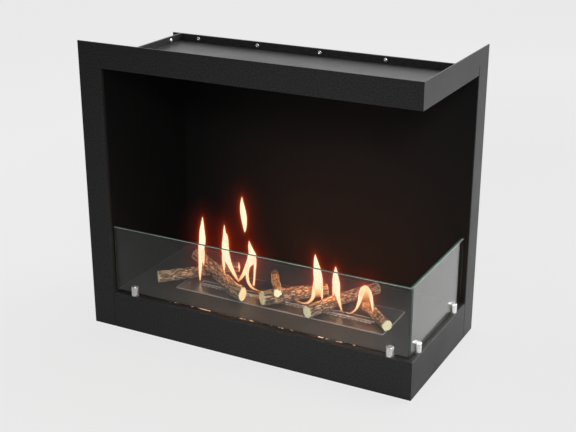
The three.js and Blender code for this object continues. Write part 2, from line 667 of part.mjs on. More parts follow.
// An angle under the plate that carries one end of the shutter. `side` is -1 at the left, 1 at the right.
function shutterRail(side) {
  const inner = SHUTTER_LENGTH / 2 + SLIDE_GAP;
  const from = SHUTTER_FRONT - SHUTTER_TRAVEL - RAIL_SPARE;
  const to = SHUTTER_FRONT + SHUTTER_WIDTH + RAIL_SPARE;
  const ledgeTop = SHUTTER_TOP - FLOOR - SHUTTER - SLIDE_GAP;
  const web = [side * inner, side * (inner + RAIL)].sort((a, b) => a - b);
  const ledge = [side * (inner - RAIL_LEDGE), side * (inner + RAIL)].sort((a, b) => a - b);
  return joined(
    block(web[0], web[1], from, to, ledgeTop - RAIL, 0),
    block(ledge[0], ledge[1], from, to, ledgeTop - RAIL, ledgeTop),
  );
}

function burner(owner) {
  owner.position.set(BURNER_X, BURNER_Y, FLOOR);
  piece(owner, "burner_plate", burnerPlate(), stainless);
  piece(owner, "fuel_tank", fuelTank(), stainless);
  piece(owner, "spill_tray", spillTrayBody(), stainless);
  piece(owner, "fibre_block", fibreBlock(), ceramicFibre);
  piece(owner, "flame_grille", flameGrille(), stainless);
  piece(owner, "shutter_plate", shutterPlate(), stainless);
  piece(owner, "shutter_tab", shutterTab(), stainless);
  piece(owner, "shutter_rail_left", shutterRail(-1), stainless);
  piece(owner, "shutter_rail_right", shutterRail(1), stainless);
}

// ---------------------------------------------------------------- branches

// Share by which the bark stands out at an angle round the branch and a place along it.
function barkSwell(angle, along, seed) {
  const ribs = Math.sin(3 * angle + seed) + 0.6 * Math.sin(5 * angle - 2 * seed + 4 * along);
  const knots = Math.sin(7 * along + seed) + 0.5 * Math.sin(13 * along + 2 * seed);
  return -BARK_RELIEF * (1 + 0.3 * ribs + 0.2 * knots) * Math.min(1, 6 * along, 6 * (1 - along));
}

function radiusAt({ ends }, along) {
  return THREE.MathUtils.lerp(ends[0], ends[1], along);
}

// The curve that a branch bends along, with its drawn rise times `lift`.
function branchAxis(shape, lift) {
  const points = shape.path.map(([x, y, rise], i) => {
    const radius = radiusAt(shape, i / (shape.path.length - 1));
    return new THREE.Vector3(STRETCH * x, y, shape.base + REST_GAP + lift * rise + radius);
  });
  return new THREE.CatmullRomCurve3(points);
}

// Least distance between the nominal rounds of two branches, measured at places along both.
function leastGap(shape, lift, below) {
  const own = branchAxis(shape, lift).getSpacedPoints(LEAN_SAMPLES);
  const under = branchAxis(below, 1).getSpacedPoints(LEAN_SAMPLES);
  let least = Infinity;
  own.forEach((point, i) => {
    under.forEach((other, k) => {
      const radii = radiusAt(shape, i / LEAN_SAMPLES) + radiusAt(below, k / LEAN_SAMPLES);
      least = Math.min(least, point.distanceTo(other) - radii);
    });
  });
  return least;
}

// The lift at which a leaning branch's nominal round meets that of the branch below it. The bark's
// relief lies inside both rounds and keeps the surfaces apart.
function leaningLift(shape) {
  if (!shape.leansOn) return 1;
  let [low, high] = LEAN_RANGE;
  for (let i = 0; i < LEAN_STEPS; i += 1) {
    const middle = (low + high) / 2;
    if (leastGap(shape, middle, BRANCHES[shape.leansOn]) < 0) low = middle;
    else high = middle;
  }
  return high;
}

// A bent, tapered branch: a lathe-turned bar whose vertices are moved onto the bent axis.
function branch(shape) {
  const axis = branchAxis(shape, leaningLift(shape));
  const rings = Array.from({ length: BRANCH_RINGS + 1 }, (_, i) => new THREE.Vector2(1, i / BRANCH_RINGS));
  const profile = [new THREE.Vector2(0, 0), ...rings, new THREE.Vector2(0, 1)];
  const geometry = new THREE.LatheGeometry(profile, BRANCH_SIDES);
  const position = geometry.attributes.position;
  for (let i = 0; i < position.count; i += 1) {
    const along = position.getY(i);
    const angle = Math.atan2(position.getZ(i), position.getX(i));
    const onRim = Math.hypot(position.getX(i), position.getZ(i)) > 0.5;
    const radius = onRim ? radiusAt(shape, along) * (1 + barkSwell(angle, along, shape.seed)) : 0;
    const forward = axis.getTangentAt(along);
    const sideways = new THREE.Vector3().crossVectors(forward, Z).normalize();
    const upward = new THREE.Vector3().crossVectors(sideways, forward);
    const point = axis.getPointAt(along);
    point.addScaledVector(sideways, radius * Math.cos(angle));
    point.addScaledVector(upward, radius * Math.sin(angle));
    position.setXYZ(i, point.x, point.y, point.z);
  }
  return solid(geometry);
}

// ---------------------------------------------------------------- everything in its place

const housing = group();
piece(housing, "left_shell", leftShell(), blackSteel);
piece(housing, "rear_shell", rearShell(), blackSteel);
piece(housing, "ceiling_tray", ceilingTray(), blackSteel);
piece(housing, "hearth_floor", hearthFloor(), blackSteel);
piece(housing, "base_pan", basePan(), blackSteel);
piece(housing, "floor_stiffener_front", floorStiffener(-1), blackSteel);
piece(housing, "floor_stiffener_rear", floorStiffener(1), blackSteel);
ceilingFasteners(housing);
glassGuard(group());
burner(group());

const logs = group();
logs.position.set(BURNER_X, BURNER_Y, FLOOR + PLATE);
for (const [name, shape] of Object.entries(BRANCHES)) piece(logs, name, branch(shape), bark);

export default fireplace;
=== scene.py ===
# %% [markdown]
# A built-in bioethanol fireplace, finished in Blender. The construction is a fixed frame from CAD:
# bent black sheets, a low glass guard, a burner and loose ceramic branches, in metres, +Z up.
# This lesson gives each surface its finish, and makes finer pieces where a plain solid wouldn't do:
# the branches' bark, the polished posts, the screws and nuts, and the flames.

# %% Load the frame and measure it
import json
import math

import bpy
from mathutils import Matrix, Vector, noise


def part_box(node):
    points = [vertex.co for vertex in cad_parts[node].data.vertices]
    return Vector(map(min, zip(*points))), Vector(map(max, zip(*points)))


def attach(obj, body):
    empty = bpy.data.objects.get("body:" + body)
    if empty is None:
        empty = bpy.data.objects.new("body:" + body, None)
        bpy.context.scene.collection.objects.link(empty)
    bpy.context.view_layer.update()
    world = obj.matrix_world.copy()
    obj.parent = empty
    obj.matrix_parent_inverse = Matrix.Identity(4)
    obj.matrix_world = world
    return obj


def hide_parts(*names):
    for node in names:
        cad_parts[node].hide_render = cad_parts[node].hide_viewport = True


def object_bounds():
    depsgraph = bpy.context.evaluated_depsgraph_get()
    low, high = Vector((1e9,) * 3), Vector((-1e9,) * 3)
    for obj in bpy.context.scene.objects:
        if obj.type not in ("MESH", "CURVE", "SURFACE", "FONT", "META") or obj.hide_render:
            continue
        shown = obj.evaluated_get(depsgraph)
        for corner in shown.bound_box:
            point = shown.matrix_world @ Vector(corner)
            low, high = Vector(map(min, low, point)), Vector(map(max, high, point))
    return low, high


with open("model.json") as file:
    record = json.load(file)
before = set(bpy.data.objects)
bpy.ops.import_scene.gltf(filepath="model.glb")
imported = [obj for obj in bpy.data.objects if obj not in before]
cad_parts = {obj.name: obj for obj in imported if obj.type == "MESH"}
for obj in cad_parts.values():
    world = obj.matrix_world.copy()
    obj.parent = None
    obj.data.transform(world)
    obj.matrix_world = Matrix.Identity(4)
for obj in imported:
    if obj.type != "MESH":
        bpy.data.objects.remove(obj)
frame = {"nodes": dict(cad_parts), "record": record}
nodes = frame["nodes"]
scene = bpy.context.scene
cad_low, cad_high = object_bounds()
MM = 0.001
HEARTH_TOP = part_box("hearth_floor")[1].z
print(f"{len(nodes)} pieces in a box of {[round(v / MM) for v in cad_high - cad_low]} mm")


# %% [markdown]
# The camera stands where the photographer's did, to the right of the open corner and above it. Its
# place, tilt and lens were fitted to the straight edges of the housing.

# %% Camera
CAMERA_PLACE = (0.9755, -1.8226, 1.0242)
CAMERA_TILT_DOWN = math.radians(20.792)
CAMERA_TURN_LEFT = math.radians(27.834)
CAMERA_LENS = 69.62

camera = bpy.data.objects.new("camera", bpy.data.cameras.new("camera"))
camera.data.lens = CAMERA_LENS
camera.location = CAMERA_PLACE
camera.rotation_euler = (math.pi / 2 - CAMERA_TILT_DOWN, 0, CAMERA_TURN_LEFT)
scene.collection.objects.link(camera)
scene.camera = camera
print("camera at", [round(v, 3) for v in camera.location])


# %% [markdown]
# Materials are trees of nodes. A small bench adds a node, sets it, and feeds each of its sockets
# with a value or another node's output. An effect that several finishes share is a node group with
# named sockets, which each finish places with its own values.

# %% A bench for node trees
class Bench:
    def __init__(self, tree):
        self.tree = tree

    def feed(self, socket, value):
        if isinstance(value, bpy.types.NodeSocket):
            self.tree.links.new(value, socket)
        else:
            socket.default_value = value

    def dress(self, node, feeds):
        for socket, value in feeds.items():
            self.feed(node.inputs[socket], value)

    def add(self, kind, feeds=None, **settings):
        node = self.tree.nodes.new(kind)
        for name, value in settings.items():
            setattr(node, name, value)
        self.dress(node, feeds or {})
        return node

    def maths(self, operation, first, second=0.0, clamp=False):
        node = self.add("ShaderNodeMath", {0: first, 1: second}, operation=operation, use_clamp=clamp)
        return node.outputs[0]

    def times(self, first, second, clamp=False):
        return self.maths("MULTIPLY", first, second, clamp)

    def plus(self, first, second):
        return self.maths("ADD", first, second)

    def vector(self, operation, first, second=(0, 0, 0), output=0):
        return self.add("ShaderNodeVectorMath", {0: first, 1: second}, operation=operation).outputs[output]

    def colour(self, share, first, second):
        feeds = {0: share, 6: first, 7: second}
        return self.add("ShaderNodeMix", feeds, data_type="RGBA").outputs[2]

    def number(self, share, first, second):
        return self.add("ShaderNodeMix", {0: share, 2: first, 3: second}, data_type="FLOAT").outputs[0]

    def spread(self, value, low, high, to_low=0.0, to_high=1.0):
        feeds = {"Value": value, "From Min": low, "From Max": high, "To Min": to_low, "To Max": to_high}
        return self.add("ShaderNodeMapRange", feeds).outputs[0]

    def noise(self, place, scale, detail=2.0, roughness=0.5):
        feeds = {"Vector": place, "Scale": scale, "Detail": detail, "Roughness": roughness}
        return self.add("ShaderNodeTexNoise", feeds).outputs[0]

    def cells(self, place, scale, output="Distance"):
        feeds = {"Vector": place, "Scale": scale}
        return self.add("ShaderNodeTexVoronoi", feeds).outputs[output]

    def stretched(self, place, stretch):
        return self.vector("MULTIPLY", place, stretch)

    def bump(self, height, depth, strength=1.0):
        feeds = {"Height": height, "Distance": depth, "Strength": strength}
        return self.add("ShaderNodeBump", feeds).outputs[0]

    def place(self):
        return self.add("ShaderNodeTexCoord").outputs["Object"]

    def xyz(self, vector):
        return self.add("ShaderNodeSeparateXYZ", {0: vector}).outputs

    def attribute(self, name, output="Fac"):
        return self.add("ShaderNodeAttribute", attribute_name=name).outputs[output]


def rgb(red, edge_green_with_painted_light, blue):
    return (red, edge_green_with_painted_light, blue, 1.0)


def grey(level):
    return rgb(level, level, level)


def new_finish(name):
    print("making the finish", name)
    material = bpy.data.materials.new(name)
    material.use_nodes = True
    shader = material.node_tree.nodes["Principled BSDF"]
    return material, Bench(material.node_tree), shader


# %% A maker of node groups
def new_group(name, inputs, outputs):
    print("making the group", name)
    tree = bpy.data.node_groups.new(name, "ShaderNodeTree")
    for way, sockets in (("INPUT", inputs), ("OUTPUT", outputs)):
        for label, kind in sockets.items():
            tree.interface.new_socket(label, in_out=way, socket_type=f"NodeSocket{kind}")
    bench = Bench(tree)
    return tree, bench, bench.add("NodeGroupInput").outputs, bench.add("NodeGroupOutput").inputs


def use_group(bench, tree, feeds):
    node = bench.add("ShaderNodeGroup", node_tree=tree)
    bench.dress(node, feeds)
    return node.outputs


# %% [markdown]
# Powder coat is a field of low grains over a slow waviness. The group puts out both as one height,
# and a speckle where the grains catch a little more light.

# %% Node group: powder grain
powder_grain, bench, given, result = new_group(
    "powder grain",
    {"Place": "Vector", "Grains per metre": "Float"},
    {"Height": "Float", "Speckle": "Float"},
)
grains = bench.noise(given["Place"], given["Grains per metre"], detail=3.0, roughness=0.6)
waves = bench.noise(given["Place"], bench.times(given["Grains per metre"], 0.12))
bench.feed(result["Height"], bench.plus(grains, bench.times(waves, 0.6)))
bench.feed(result["Speckle"], bench.spread(grains, 0.36, 0.68))


# %% [markdown]
# Edges are rubbed a little brighter in handling; on the burner's steel the same mask paints a
# highlight along the edges. A rounded normal differs from the true one only near an edge, so the
# difference is a mask of the edges. Noise breaks it up, as wear is uneven.

# %% Node group: rubbed edges and painted edge highlight
rubbed_edges_and_edge_highlight, bench, given, result = new_group(
    "rubbed edges and painted edge highlight", {"Place": "Vector", "Reach": "Float"}, {"Mask": "Float"}
)
rounded = bench.add("ShaderNodeBevel", {"Radius": given["Reach"]}, samples=4).outputs[0]
true_normal = bench.add("ShaderNodeNewGeometry").outputs["True Normal"]
likeness = bench.vector("DOT_PRODUCT", rounded, true_normal, output="Value")
edge = bench.spread(likeness, 0.99, 0.75)
patches = bench.spread(bench.noise(given["Place"], 60.0, detail=3.0), 0.35, 0.65)
bench.feed(result["Mask"], bench.times(edge, patches, clamp=True))


# %% [markdown]
# Dust settles on what faces up, in clouds: the upward share of the normal times a slow noise.

# %% Node group: settled dust
settled_dust, bench, given, result = new_group(
    "settled dust", {"Place": "Vector", "Amount": "Float"}, {"Mask": "Float"}
)
facing = bench.xyz(bench.add("ShaderNodeNewGeometry").outputs["Normal"])
upward = bench.spread(facing["Z"], 0.6, 1.0)
clouds = bench.spread(bench.noise(given["Place"], 14.0, detail=4.0), 0.3, 0.75)
dusty = bench.times(bench.times(upward, clouds), given["Amount"], clamp=True)
bench.feed(result["Mask"], dusty)


# %% [markdown]
# Brushed metal has fine lines along one direction. Noise that is squeezed across that direction
# and stretched along it gives the lines, at two widths.

# %% Node group: brushed lines
brushed_lines, bench, given, result = new_group(
    "brushed lines", {"Place": "Vector", "Stretch": "Vector"}, {"Height": "Float", "Streak": "Float"}
)
drawn = bench.stretched(given["Place"], given["Stretch"])
fine = bench.noise(drawn, 1.0, detail=3.0, roughness=0.7)
broad = bench.noise(drawn, 0.22, detail=2.0)
bench.feed(result["Height"], fine)
bench.feed(result["Streak"], bench.spread(bench.number(0.45, fine, broad), 0.35, 0.65))


# %% [markdown]
# The studio is a plain pale sweep. The camera sees the floor and the backdrop in one even tone,
# with a light shadow under the object. Light that has met another surface on its way sees a floor
# lit by the lamps and also painted bright behind, where the lamps hang, and dim in front: painted
# light and shade. That is what gives the black coat its light right side and its dark face.

# %% Floor and backdrop
def seen_directly(bench):
    """1 for a look from the camera, also one straight through glass, and 0 for all other light."""
    rays = bench.add("ShaderNodeLightPath").outputs
    bounces = bench.plus(rays["Diffuse Depth"], rays["Glossy Depth"])
    straight = bench.times(rays["Is Transmission Ray"], bench.maths("LESS_THAN", bounces, 0.5))
    return bench.maths("MAXIMUM", rays["Is Camera Ray"], straight), rays["Is Glossy Ray"]


BACKDROP = grey(0.815)
FLOOR_PAINTED_BRIGHT = grey(0.68)
FLOOR_PAINTED_DIM = grey(0.3)
DIM_IN_FRONT_OF, BRIGHT_BEHIND = -0.7, 0.15
FLOOR_HALF = 9.0
FLOOR_DROP = 0.4 * MM
SHADOW_SHARE = 0.1
UNDER_LAMPS = (0.6, 0.8, 0.0)
LAMPS_REACH = (0.7, 1.9)
FLOOR_LIGHT_NEAR, FLOOR_LIGHT_FAR = 0.965, 1.06
WORLD_LIGHT = 0.5
WORLD_GLOSS_DIM, WORLD_GLOSS_BRIGHT = 0.3, 1.9

scene.view_settings.view_transform = "Standard"
world = bpy.data.worlds.new("studio")
world.use_nodes = True
scene.world = world
bench = Bench(world.node_tree)
sky = world.node_tree.nodes["Background"]
seen, glossy = seen_directly(bench)
towards = bench.add("ShaderNodeTexCoord").outputs["Generated"]
backward = bench.xyz(towards)["Y"]
gloss = bench.spread(backward, -0.4, 0.5, WORLD_GLOSS_DIM, WORLD_GLOSS_BRIGHT)
strength = bench.number(glossy, WORLD_LIGHT, gloss)
bench.feed(sky.inputs["Color"], BACKDROP)
bench.feed(sky.inputs["Strength"], bench.number(seen, strength, 1.0))

floor_mesh = bpy.data.meshes.new("studio_floor")
corners = [(FLOOR_HALF * x, FLOOR_HALF * y, -FLOOR_DROP) for x, y in ((-1, -1), (1, -1), (1, 1), (-1, 1))]
floor_mesh.from_pydata(corners, [], [(0, 1, 2, 3)])
studio_floor = bpy.data.objects.new("studio_floor", floor_mesh)
scene.collection.objects.link(studio_floor)

floor_finish, bench, shader = new_finish("studio floor")
floor_finish.node_tree.nodes.remove(shader)
place = bench.place()
depth = bench.xyz(place)["Y"]
# For bounced light the floor's colour is painted: dim in front, bright behind, painted light and shade of
# the lamps.
uneven = bench.colour(bench.spread(depth, DIM_IN_FRONT_OF, BRIGHT_BEHIND), FLOOR_PAINTED_DIM, FLOOR_PAINTED_BRIGHT)
from_lamps = bench.vector("DISTANCE", place, UNDER_LAMPS, output="Value")
even_light = bench.spread(from_lamps, *LAMPS_REACH, FLOOR_LIGHT_NEAR, FLOOR_LIGHT_FAR)
lit_for_gloss = bench.add("ShaderNodeBsdfDiffuse", {"Color": uneven}).outputs[0]
lit_for_camera = bench.add("ShaderNodeBsdfDiffuse", {"Color": BACKDROP}).outputs[0]
even = bench.add("ShaderNodeEmission", {"Color": BACKDROP, "Strength": even_light}).outputs[0]
looked_at = bench.add("ShaderNodeMixShader", {0: 1.0 - SHADOW_SHARE, 1: lit_for_camera, 2: even}).outputs[0]
mixing = {0: seen_directly(bench)[0], 1: lit_for_gloss, 2: looked_at}
mixed = bench.add("ShaderNodeMixShader", mixing).outputs[0]
output = floor_finish.node_tree.nodes["Material Output"]
bench.feed(output.inputs["Surface"], mixed)
floor_mesh.materials.append(floor_finish)
print("floor and backdrop at", BACKDROP[0])


# %% [markdown]
# Three soft boxes light the set: a large one overhead and behind, one on the right, and one in
# front for the branches and the posts, with a narrow beam that spares the floor.

# %% Lamps
def soft_box(name, place, aim, size, watts, beam=math.pi):
    lamp = bpy.data.lights.new(name, "AREA")
    lamp.shape = "RECTANGLE"
    lamp.size, lamp.size_y = size
    lamp.energy = watts
    lamp.spread = beam
    obj = bpy.data.objects.new(name, lamp)
    obj.location = place
    obj.rotation_euler = (Vector(aim) - Vector(place)).to_track_quat("-Z", "Y").to_euler()
    obj.visible_camera = False
    scene.collection.objects.link(obj)
    return obj


HEART = (0.0, 0.0, 0.28)
soft_box("overhead_box", (0.5, 0.9, 2.2), HEART, (1.8, 1.8), 46)
soft_box("right_box", (1.6, 1.6, 0.9), (0.3, 0.4, 0.0), (1.3, 1.3), 15)
soft_box("front_box", (1.2, -1.9, 1.4), (0.0, 0.0, 0.12), (0.6, 0.6), 1.2, beam=math.radians(30))


# %% [markdown]
# The housing is folded from 2 mm sheet and powder coated black. The coat is matt, yet at a low
# angle it still mirrors the bright studio, which is why the top and the right side look grey. The
# walls of the fire box have a second coat that stands heat and hardly mirrors anything; its colour
# is painted near-black, a painted shade of the enclosed box, with a painted glow of firelight in the
# middle.

# %% Finish: black powder coat
COAT_GRAINS = 400.0
COAT_RELIEF = 0.16 * MM
EDGE_REACH = 0.7 * MM
SHEET = 2 * MM
HALF_SHEET = SHEET / 2
DUST_SHARE = 0.25
INSIDE_ROUGHNESS = 0.62
tray_low, tray_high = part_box("ceiling_tray")
FIRE_BOX_LOW = Vector((tray_low.x - HALF_SHEET, cad_low.y + 4 * SHEET, HEARTH_TOP + SHEET))
FIRE_BOX_HIGH = Vector((cad_high.x, tray_high.y + HALF_SHEET, tray_low.z + SHEET))
FIRELIGHT_GLOW_CENTRE = (0.1, tray_high.y, 0.18)
FIRELIGHT_GLOW_REACH = (0.12, 0.4)
INSIDE_FADE = 0.4 * SHEET


def in_fire_box(bench, place):
    """1 on the walls round the fire, 0 on the outside and on the hearth."""
    over = bench.vector("SUBTRACT", place, tuple(FIRE_BOX_LOW))
    under = bench.vector("SUBTRACT", tuple(FIRE_BOX_HIGH), place)
    room = bench.xyz(bench.vector("MINIMUM", over, under))
    least = bench.maths("MINIMUM", bench.maths("MINIMUM", room["X"], room["Y"]), room["Z"])
    return bench.spread(least, 0.0, INSIDE_FADE)


def powder_coat():
    material, bench, shader = new_finish("black powder coat")
    place = bench.place()
    grain = use_group(bench, powder_grain, {"Place": place, "Grains per metre": COAT_GRAINS})
    edges = use_group(bench, rubbed_edges_and_edge_highlight, {"Place": place, "Reach": EDGE_REACH})["Mask"]
    dust = use_group(bench, settled_dust, {"Place": place, "Amount": DUST_SHARE})["Mask"]
    base = bench.colour(grain["Speckle"], grey(0.008), grey(0.042))
    base = bench.colour(edges, base, grey(0.06))
    base = bench.colour(dust, base, rgb(0.02, 0.0195, 0.019))
    rough = bench.spread(bench.noise(place, 9.0, detail=3.0), 0.3, 0.7, 0.36, 0.46)
    rough = bench.plus(rough, bench.number(grain["Speckle"], -0.04, 0.1))
    rough = bench.number(dust, rough, 0.75)
    inside = in_fire_box(bench, place)
    # Inside the fire box the colour is painted: near-black for the box's shade, and warmer round the middle
    # of the back wall, a painted glow of the fire's light.
    from_fire = bench.vector("DISTANCE", place, FIRELIGHT_GLOW_CENTRE, output="Value")
    painted_firebox_shade_and_glow = bench.colour(bench.spread(from_fire, *FIRELIGHT_GLOW_REACH), rgb(0.012, 0.006, 0.004), grey(0.002))
    base = bench.colour(inside, base, painted_firebox_shade_and_glow)
    height = bench.times(grain["Height"], bench.number(inside, 1.0, 0.2))
    bench.dress(shader, {
        "Base Color": base,
        "Roughness": bench.number(inside, rough, INSIDE_ROUGHNESS),
        "Specular IOR Level": 0.27,
        "Normal": bench.bump(height, COAT_RELIEF, 0.9),
    })
    return material


black_coat = powder_coat()


# %% [markdown]
# The burner is brushed stainless steel, with the brushing along its length. Years of fire tint the
# steel next to the slot, so the colour follows the distance from it. The slot's lips, the tops of the
# ribs before it, the plate's outline and the steel's edges are painted pale and less mirror-like: a
# painted highlight that shows them as bright lines.

# %% Finish: brushed stainless steel
grille_low, grille_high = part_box("flame_grille")
slot_middle = (grille_low.y + grille_high.y) / 2
plate_low, plate_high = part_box("burner_plate")
TINT_REACH = 26 * MM
BRUSH_ALONG = 30.0
BRUSH_ACROSS = 2600.0
STEEL_EDGE = 1.3 * MM
PLATE_MIDDLE = (plate_low + plate_high) / 2
PLATE_HALF = (plate_high - plate_low) / 2
LIP_RISE = 1.5 * MM
PLATE_TOP = plate_high.z - LIP_RISE
PAINTED_RIM_WIDTH = 1.5 * MM
RIM_SHARE, LIP_SHARE = 0.4, 0.5


def painted_lip_highlight(bench, place):
    """Share of painted highlight on the steel: full above the plate's face, partial round its outline."""
    from_middle = bench.vector("ABSOLUTE", bench.vector("SUBTRACT", place, tuple(PLATE_MIDDLE)))
    room = bench.xyz(bench.vector("SUBTRACT", tuple(PLATE_HALF), from_middle))
    nearest = bench.maths("MINIMUM", room["X"], room["Y"])
    rim = bench.spread(nearest, PAINTED_RIM_WIDTH, 0.8 * PAINTED_RIM_WIDTH)
    lip = bench.spread(bench.xyz(place)["Z"], PLATE_TOP + 0.1 * MM, PLATE_TOP + 0.3 * MM)
    return bench.maths("MAXIMUM", bench.times(rim, RIM_SHARE), bench.times(lip, LIP_SHARE))


def brushed_steel():
    material, bench, shader = new_finish("brushed stainless steel")
    place = bench.place()
    stretch = (BRUSH_ALONG, BRUSH_ACROSS, BRUSH_ACROSS)
    lines = use_group(bench, brushed_lines, {"Place": place, "Stretch": stretch})
    edges = use_group(bench, rubbed_edges_and_edge_highlight, {"Place": place, "Reach": STEEL_EDGE})["Mask"]
    # The edges, the slot's lips, the rib tops and the plate's outline get a painted highlight: pale and
    # less metallic.
    edges = bench.maths("MAXIMUM", edges, painted_lip_highlight(bench, place))
    across = bench.xyz(place)["Y"]
    distance = bench.maths("ABSOLUTE", bench.maths("SUBTRACT", across, slot_middle))
    wander = bench.times(bench.noise(place, 22.0, detail=3.0), TINT_REACH)
    near = bench.spread(bench.plus(distance, wander), 0.0, 2 * TINT_REACH, 0.8, 0.0)
    base = bench.colour(lines["Streak"], rgb(0.4, 0.38, 0.365), rgb(0.44, 0.42, 0.405))
    base = bench.colour(near, base, rgb(0.37, 0.3, 0.245))
    base = bench.colour(edges, base, rgb(0.9, 0.88, 0.86))
    bench.dress(shader, {
        "Base Color": base,
        "Roughness": bench.number(lines["Streak"], 0.3, 0.4),
        "Normal": bench.bump(lines["Height"], 0.01 * MM, 0.25),
        "Metallic": bench.number(edges, 1.0, 0.35),
        "Anisotropic": 0.4,
    })
    return material


stainless = brushed_steel()
print("its tint lies round y =", round(slot_middle, 4))


# %% [markdown]
# The posts are satin chromed brass, with a faint haze of wiping marks. The screws and nuts are
# bright zinc plate, which is duller and has a slight crystal pattern.

# %% Finishes: chrome and zinc
def satin_chrome():
    material, bench, shader = new_finish("satin chrome")
    place = bench.place()
    wiped = bench.noise(bench.stretched(place, (1.0, 1.0, 6.0)), 260.0, detail=3.0)
    bench.dress(shader, {
        "Base Color": bench.colour(wiped, grey(0.9), rgb(0.96, 0.96, 0.95)),
        "Roughness": bench.spread(wiped, 0.3, 0.8, 0.15, 0.25),
        "Normal": bench.bump(wiped, 0.01 * MM, 0.3),
        "Metallic": 0.8,
    })
    return material


def bright_zinc():
    material, bench, shader = new_finish("bright zinc plate")
    place = bench.place()
    crystals = bench.cells(place, 900.0, output="Color")
    tone = bench.add("ShaderNodeSeparateColor", {0: crystals}).outputs[0]
    edges = use_group(bench, rubbed_edges_and_edge_highlight, {"Place": place, "Reach": 0.3 * MM})["Mask"]
    base = bench.colour(tone, rgb(0.72, 0.73, 0.74), rgb(0.86, 0.87, 0.88))
    bench.dress(shader, {
        "Base Color": bench.colour(edges, base, grey(0.86)),
        "Roughness": bench.number(tone, 0.22, 0.34),
        "Normal": bench.bump(bench.noise(place, 1400.0), 0.02 * MM, 0.3),
        "Metallic": 1.0,
    })
    return material


chrome = satin_chrome()
zinc = bright_zinc()


# %% [markdown]
# Glass is clear through its faces and green through its edges, where light has run through many
# centimetres of it. Its edges carry painted light and shade: the top flats are painted lighter and
# the narrow chamfers carry a painted highlight, the upright flats are a deep bottle green, and faces
# that look down and the lower edge in the dark gap at the floor get painted shade, with a few painted warm
# glints there, painted reflections of the fire.

# %% Finishes: glass faces and glass edges
def glass_face():
    material, bench, shader = new_finish("toughened glass")
    smear = bench.noise(bench.place(), 16.0, detail=4.0)
    tint = bench.colour(smear, rgb(0.97, 0.985, 0.978), rgb(0.99, 1.0, 0.995))
    bench.dress(shader, {
        "Base Color": tint,
        "Roughness": bench.spread(smear, 0.5, 0.8, 0.0, 0.001),
        "Transmission Weight": 1.0,
        "IOR": 1.5,
        "Specular IOR Level": 0.48,
    })
    return material


GLASS_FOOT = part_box("front_glass")[0].z
FIRE_MIDDLE = (0.03, slot_middle, GLASS_FOOT)
UPRIGHT_HIGHLIGHT_SHARE = 0.15


def glass_edge():
    material, bench, shader = new_finish("polished glass edge")
    place = bench.place()
    normal = bench.add("ShaderNodeNewGeometry").outputs["True Normal"]
    away = bench.xyz(bench.vector("ABSOLUTE", normal))
    squareness = bench.maths("MAXIMUM", bench.maths("MAXIMUM", away["X"], away["Y"]), away["Z"])
    chamfer = bench.spread(squareness, 0.95, 0.8)
    chamfer = bench.times(chamfer, bench.spread(away["Z"], 0.1, 0.4, UPRIGHT_HIGHLIGHT_SHARE, 1.0))
    # Which way a face looks sets painted light and shade: lighter green on top, near-black where it looks
    # down.
    height = bench.xyz(normal)["Z"]
    ground = bench.noise(place, 900.0, detail=2.0)
    along = bench.spread(bench.noise(place, 18.0, detail=3.0), 0.35, 0.65)
    edge_green_with_painted_light = bench.colour(bench.spread(height, 0.2, 0.9), rgb(0.002, 0.02, 0.01), rgb(0.08, 0.15, 0.115))
    # A painted highlight on the chamfers, brighter in patches along the edge.
    bright = bench.colour(along, rgb(0.42, 0.5, 0.44), rgb(0.8, 0.95, 0.82))
    edge_green_with_painted_light = bench.colour(chamfer, edge_green_with_painted_light, bright)
    edge_green_with_painted_light = bench.colour(bench.spread(height, -0.2, -0.6), edge_green_with_painted_light, rgb(0.006, 0.02, 0.015))
    # At the foot the edge is painted near-black, a painted shade of the gap, with painted warm glints near
    # the fire, painted reflections of it.
    level = bench.xyz(place)["Z"]
    foot = bench.spread(level, GLASS_FOOT + 2 * MM, GLASS_FOOT + 1 * MM)
    glints = bench.noise(bench.stretched(place, (1.0, 1.0, 0.0)), 75.0, detail=2.0)
    near_fire = bench.vector("DISTANCE", place, FIRE_MIDDLE, output="Value")
    glints = bench.times(bench.spread(glints, 0.55, 0.6), bench.spread(near_fire, 0.26, 0.22))
    painted_foot_shade_and_glints = bench.colour(glints, rgb(0.003, 0.004, 0.003), rgb(1.0, 0.68, 0.45))
    edge_green_with_painted_light = bench.colour(foot, edge_green_with_painted_light, painted_foot_shade_and_glints)
    bench.dress(shader, {
        "Base Color": edge_green_with_painted_light,
        "Roughness": bench.spread(ground, 0.3, 0.7, 0.12, 0.3),
        "Normal": bench.bump(ground, 0.02 * MM, 0.4),
        "Transmission Weight": 0.05,
        "IOR": 1.5,
        "Specular IOR Level": 0.15,
    })
    return material


glass_faces, glass_edges = glass_face(), glass_edge()


# %% [markdown]
# Two soft materials hide inside: the matt liner in the posts' slots, and the ceramic wool in the
# tank, a tangle of short fibres drawn by noise that is stretched in two directions.

# %% Finishes: liner and ceramic wool
def soft_liner():
    material, bench, shader = new_finish("soft liner")
    place = bench.place()
    grain = use_group(bench, powder_grain, {"Place": place, "Grains per metre": 2600.0})
    bench.dress(shader, {
        "Base Color": bench.colour(grain["Speckle"], grey(0.01), grey(0.03)),
        "Roughness": bench.number(grain["Speckle"], 0.7, 0.85),
        "Normal": bench.bump(grain["Height"], 0.05 * MM, 0.6),
    })
    return material


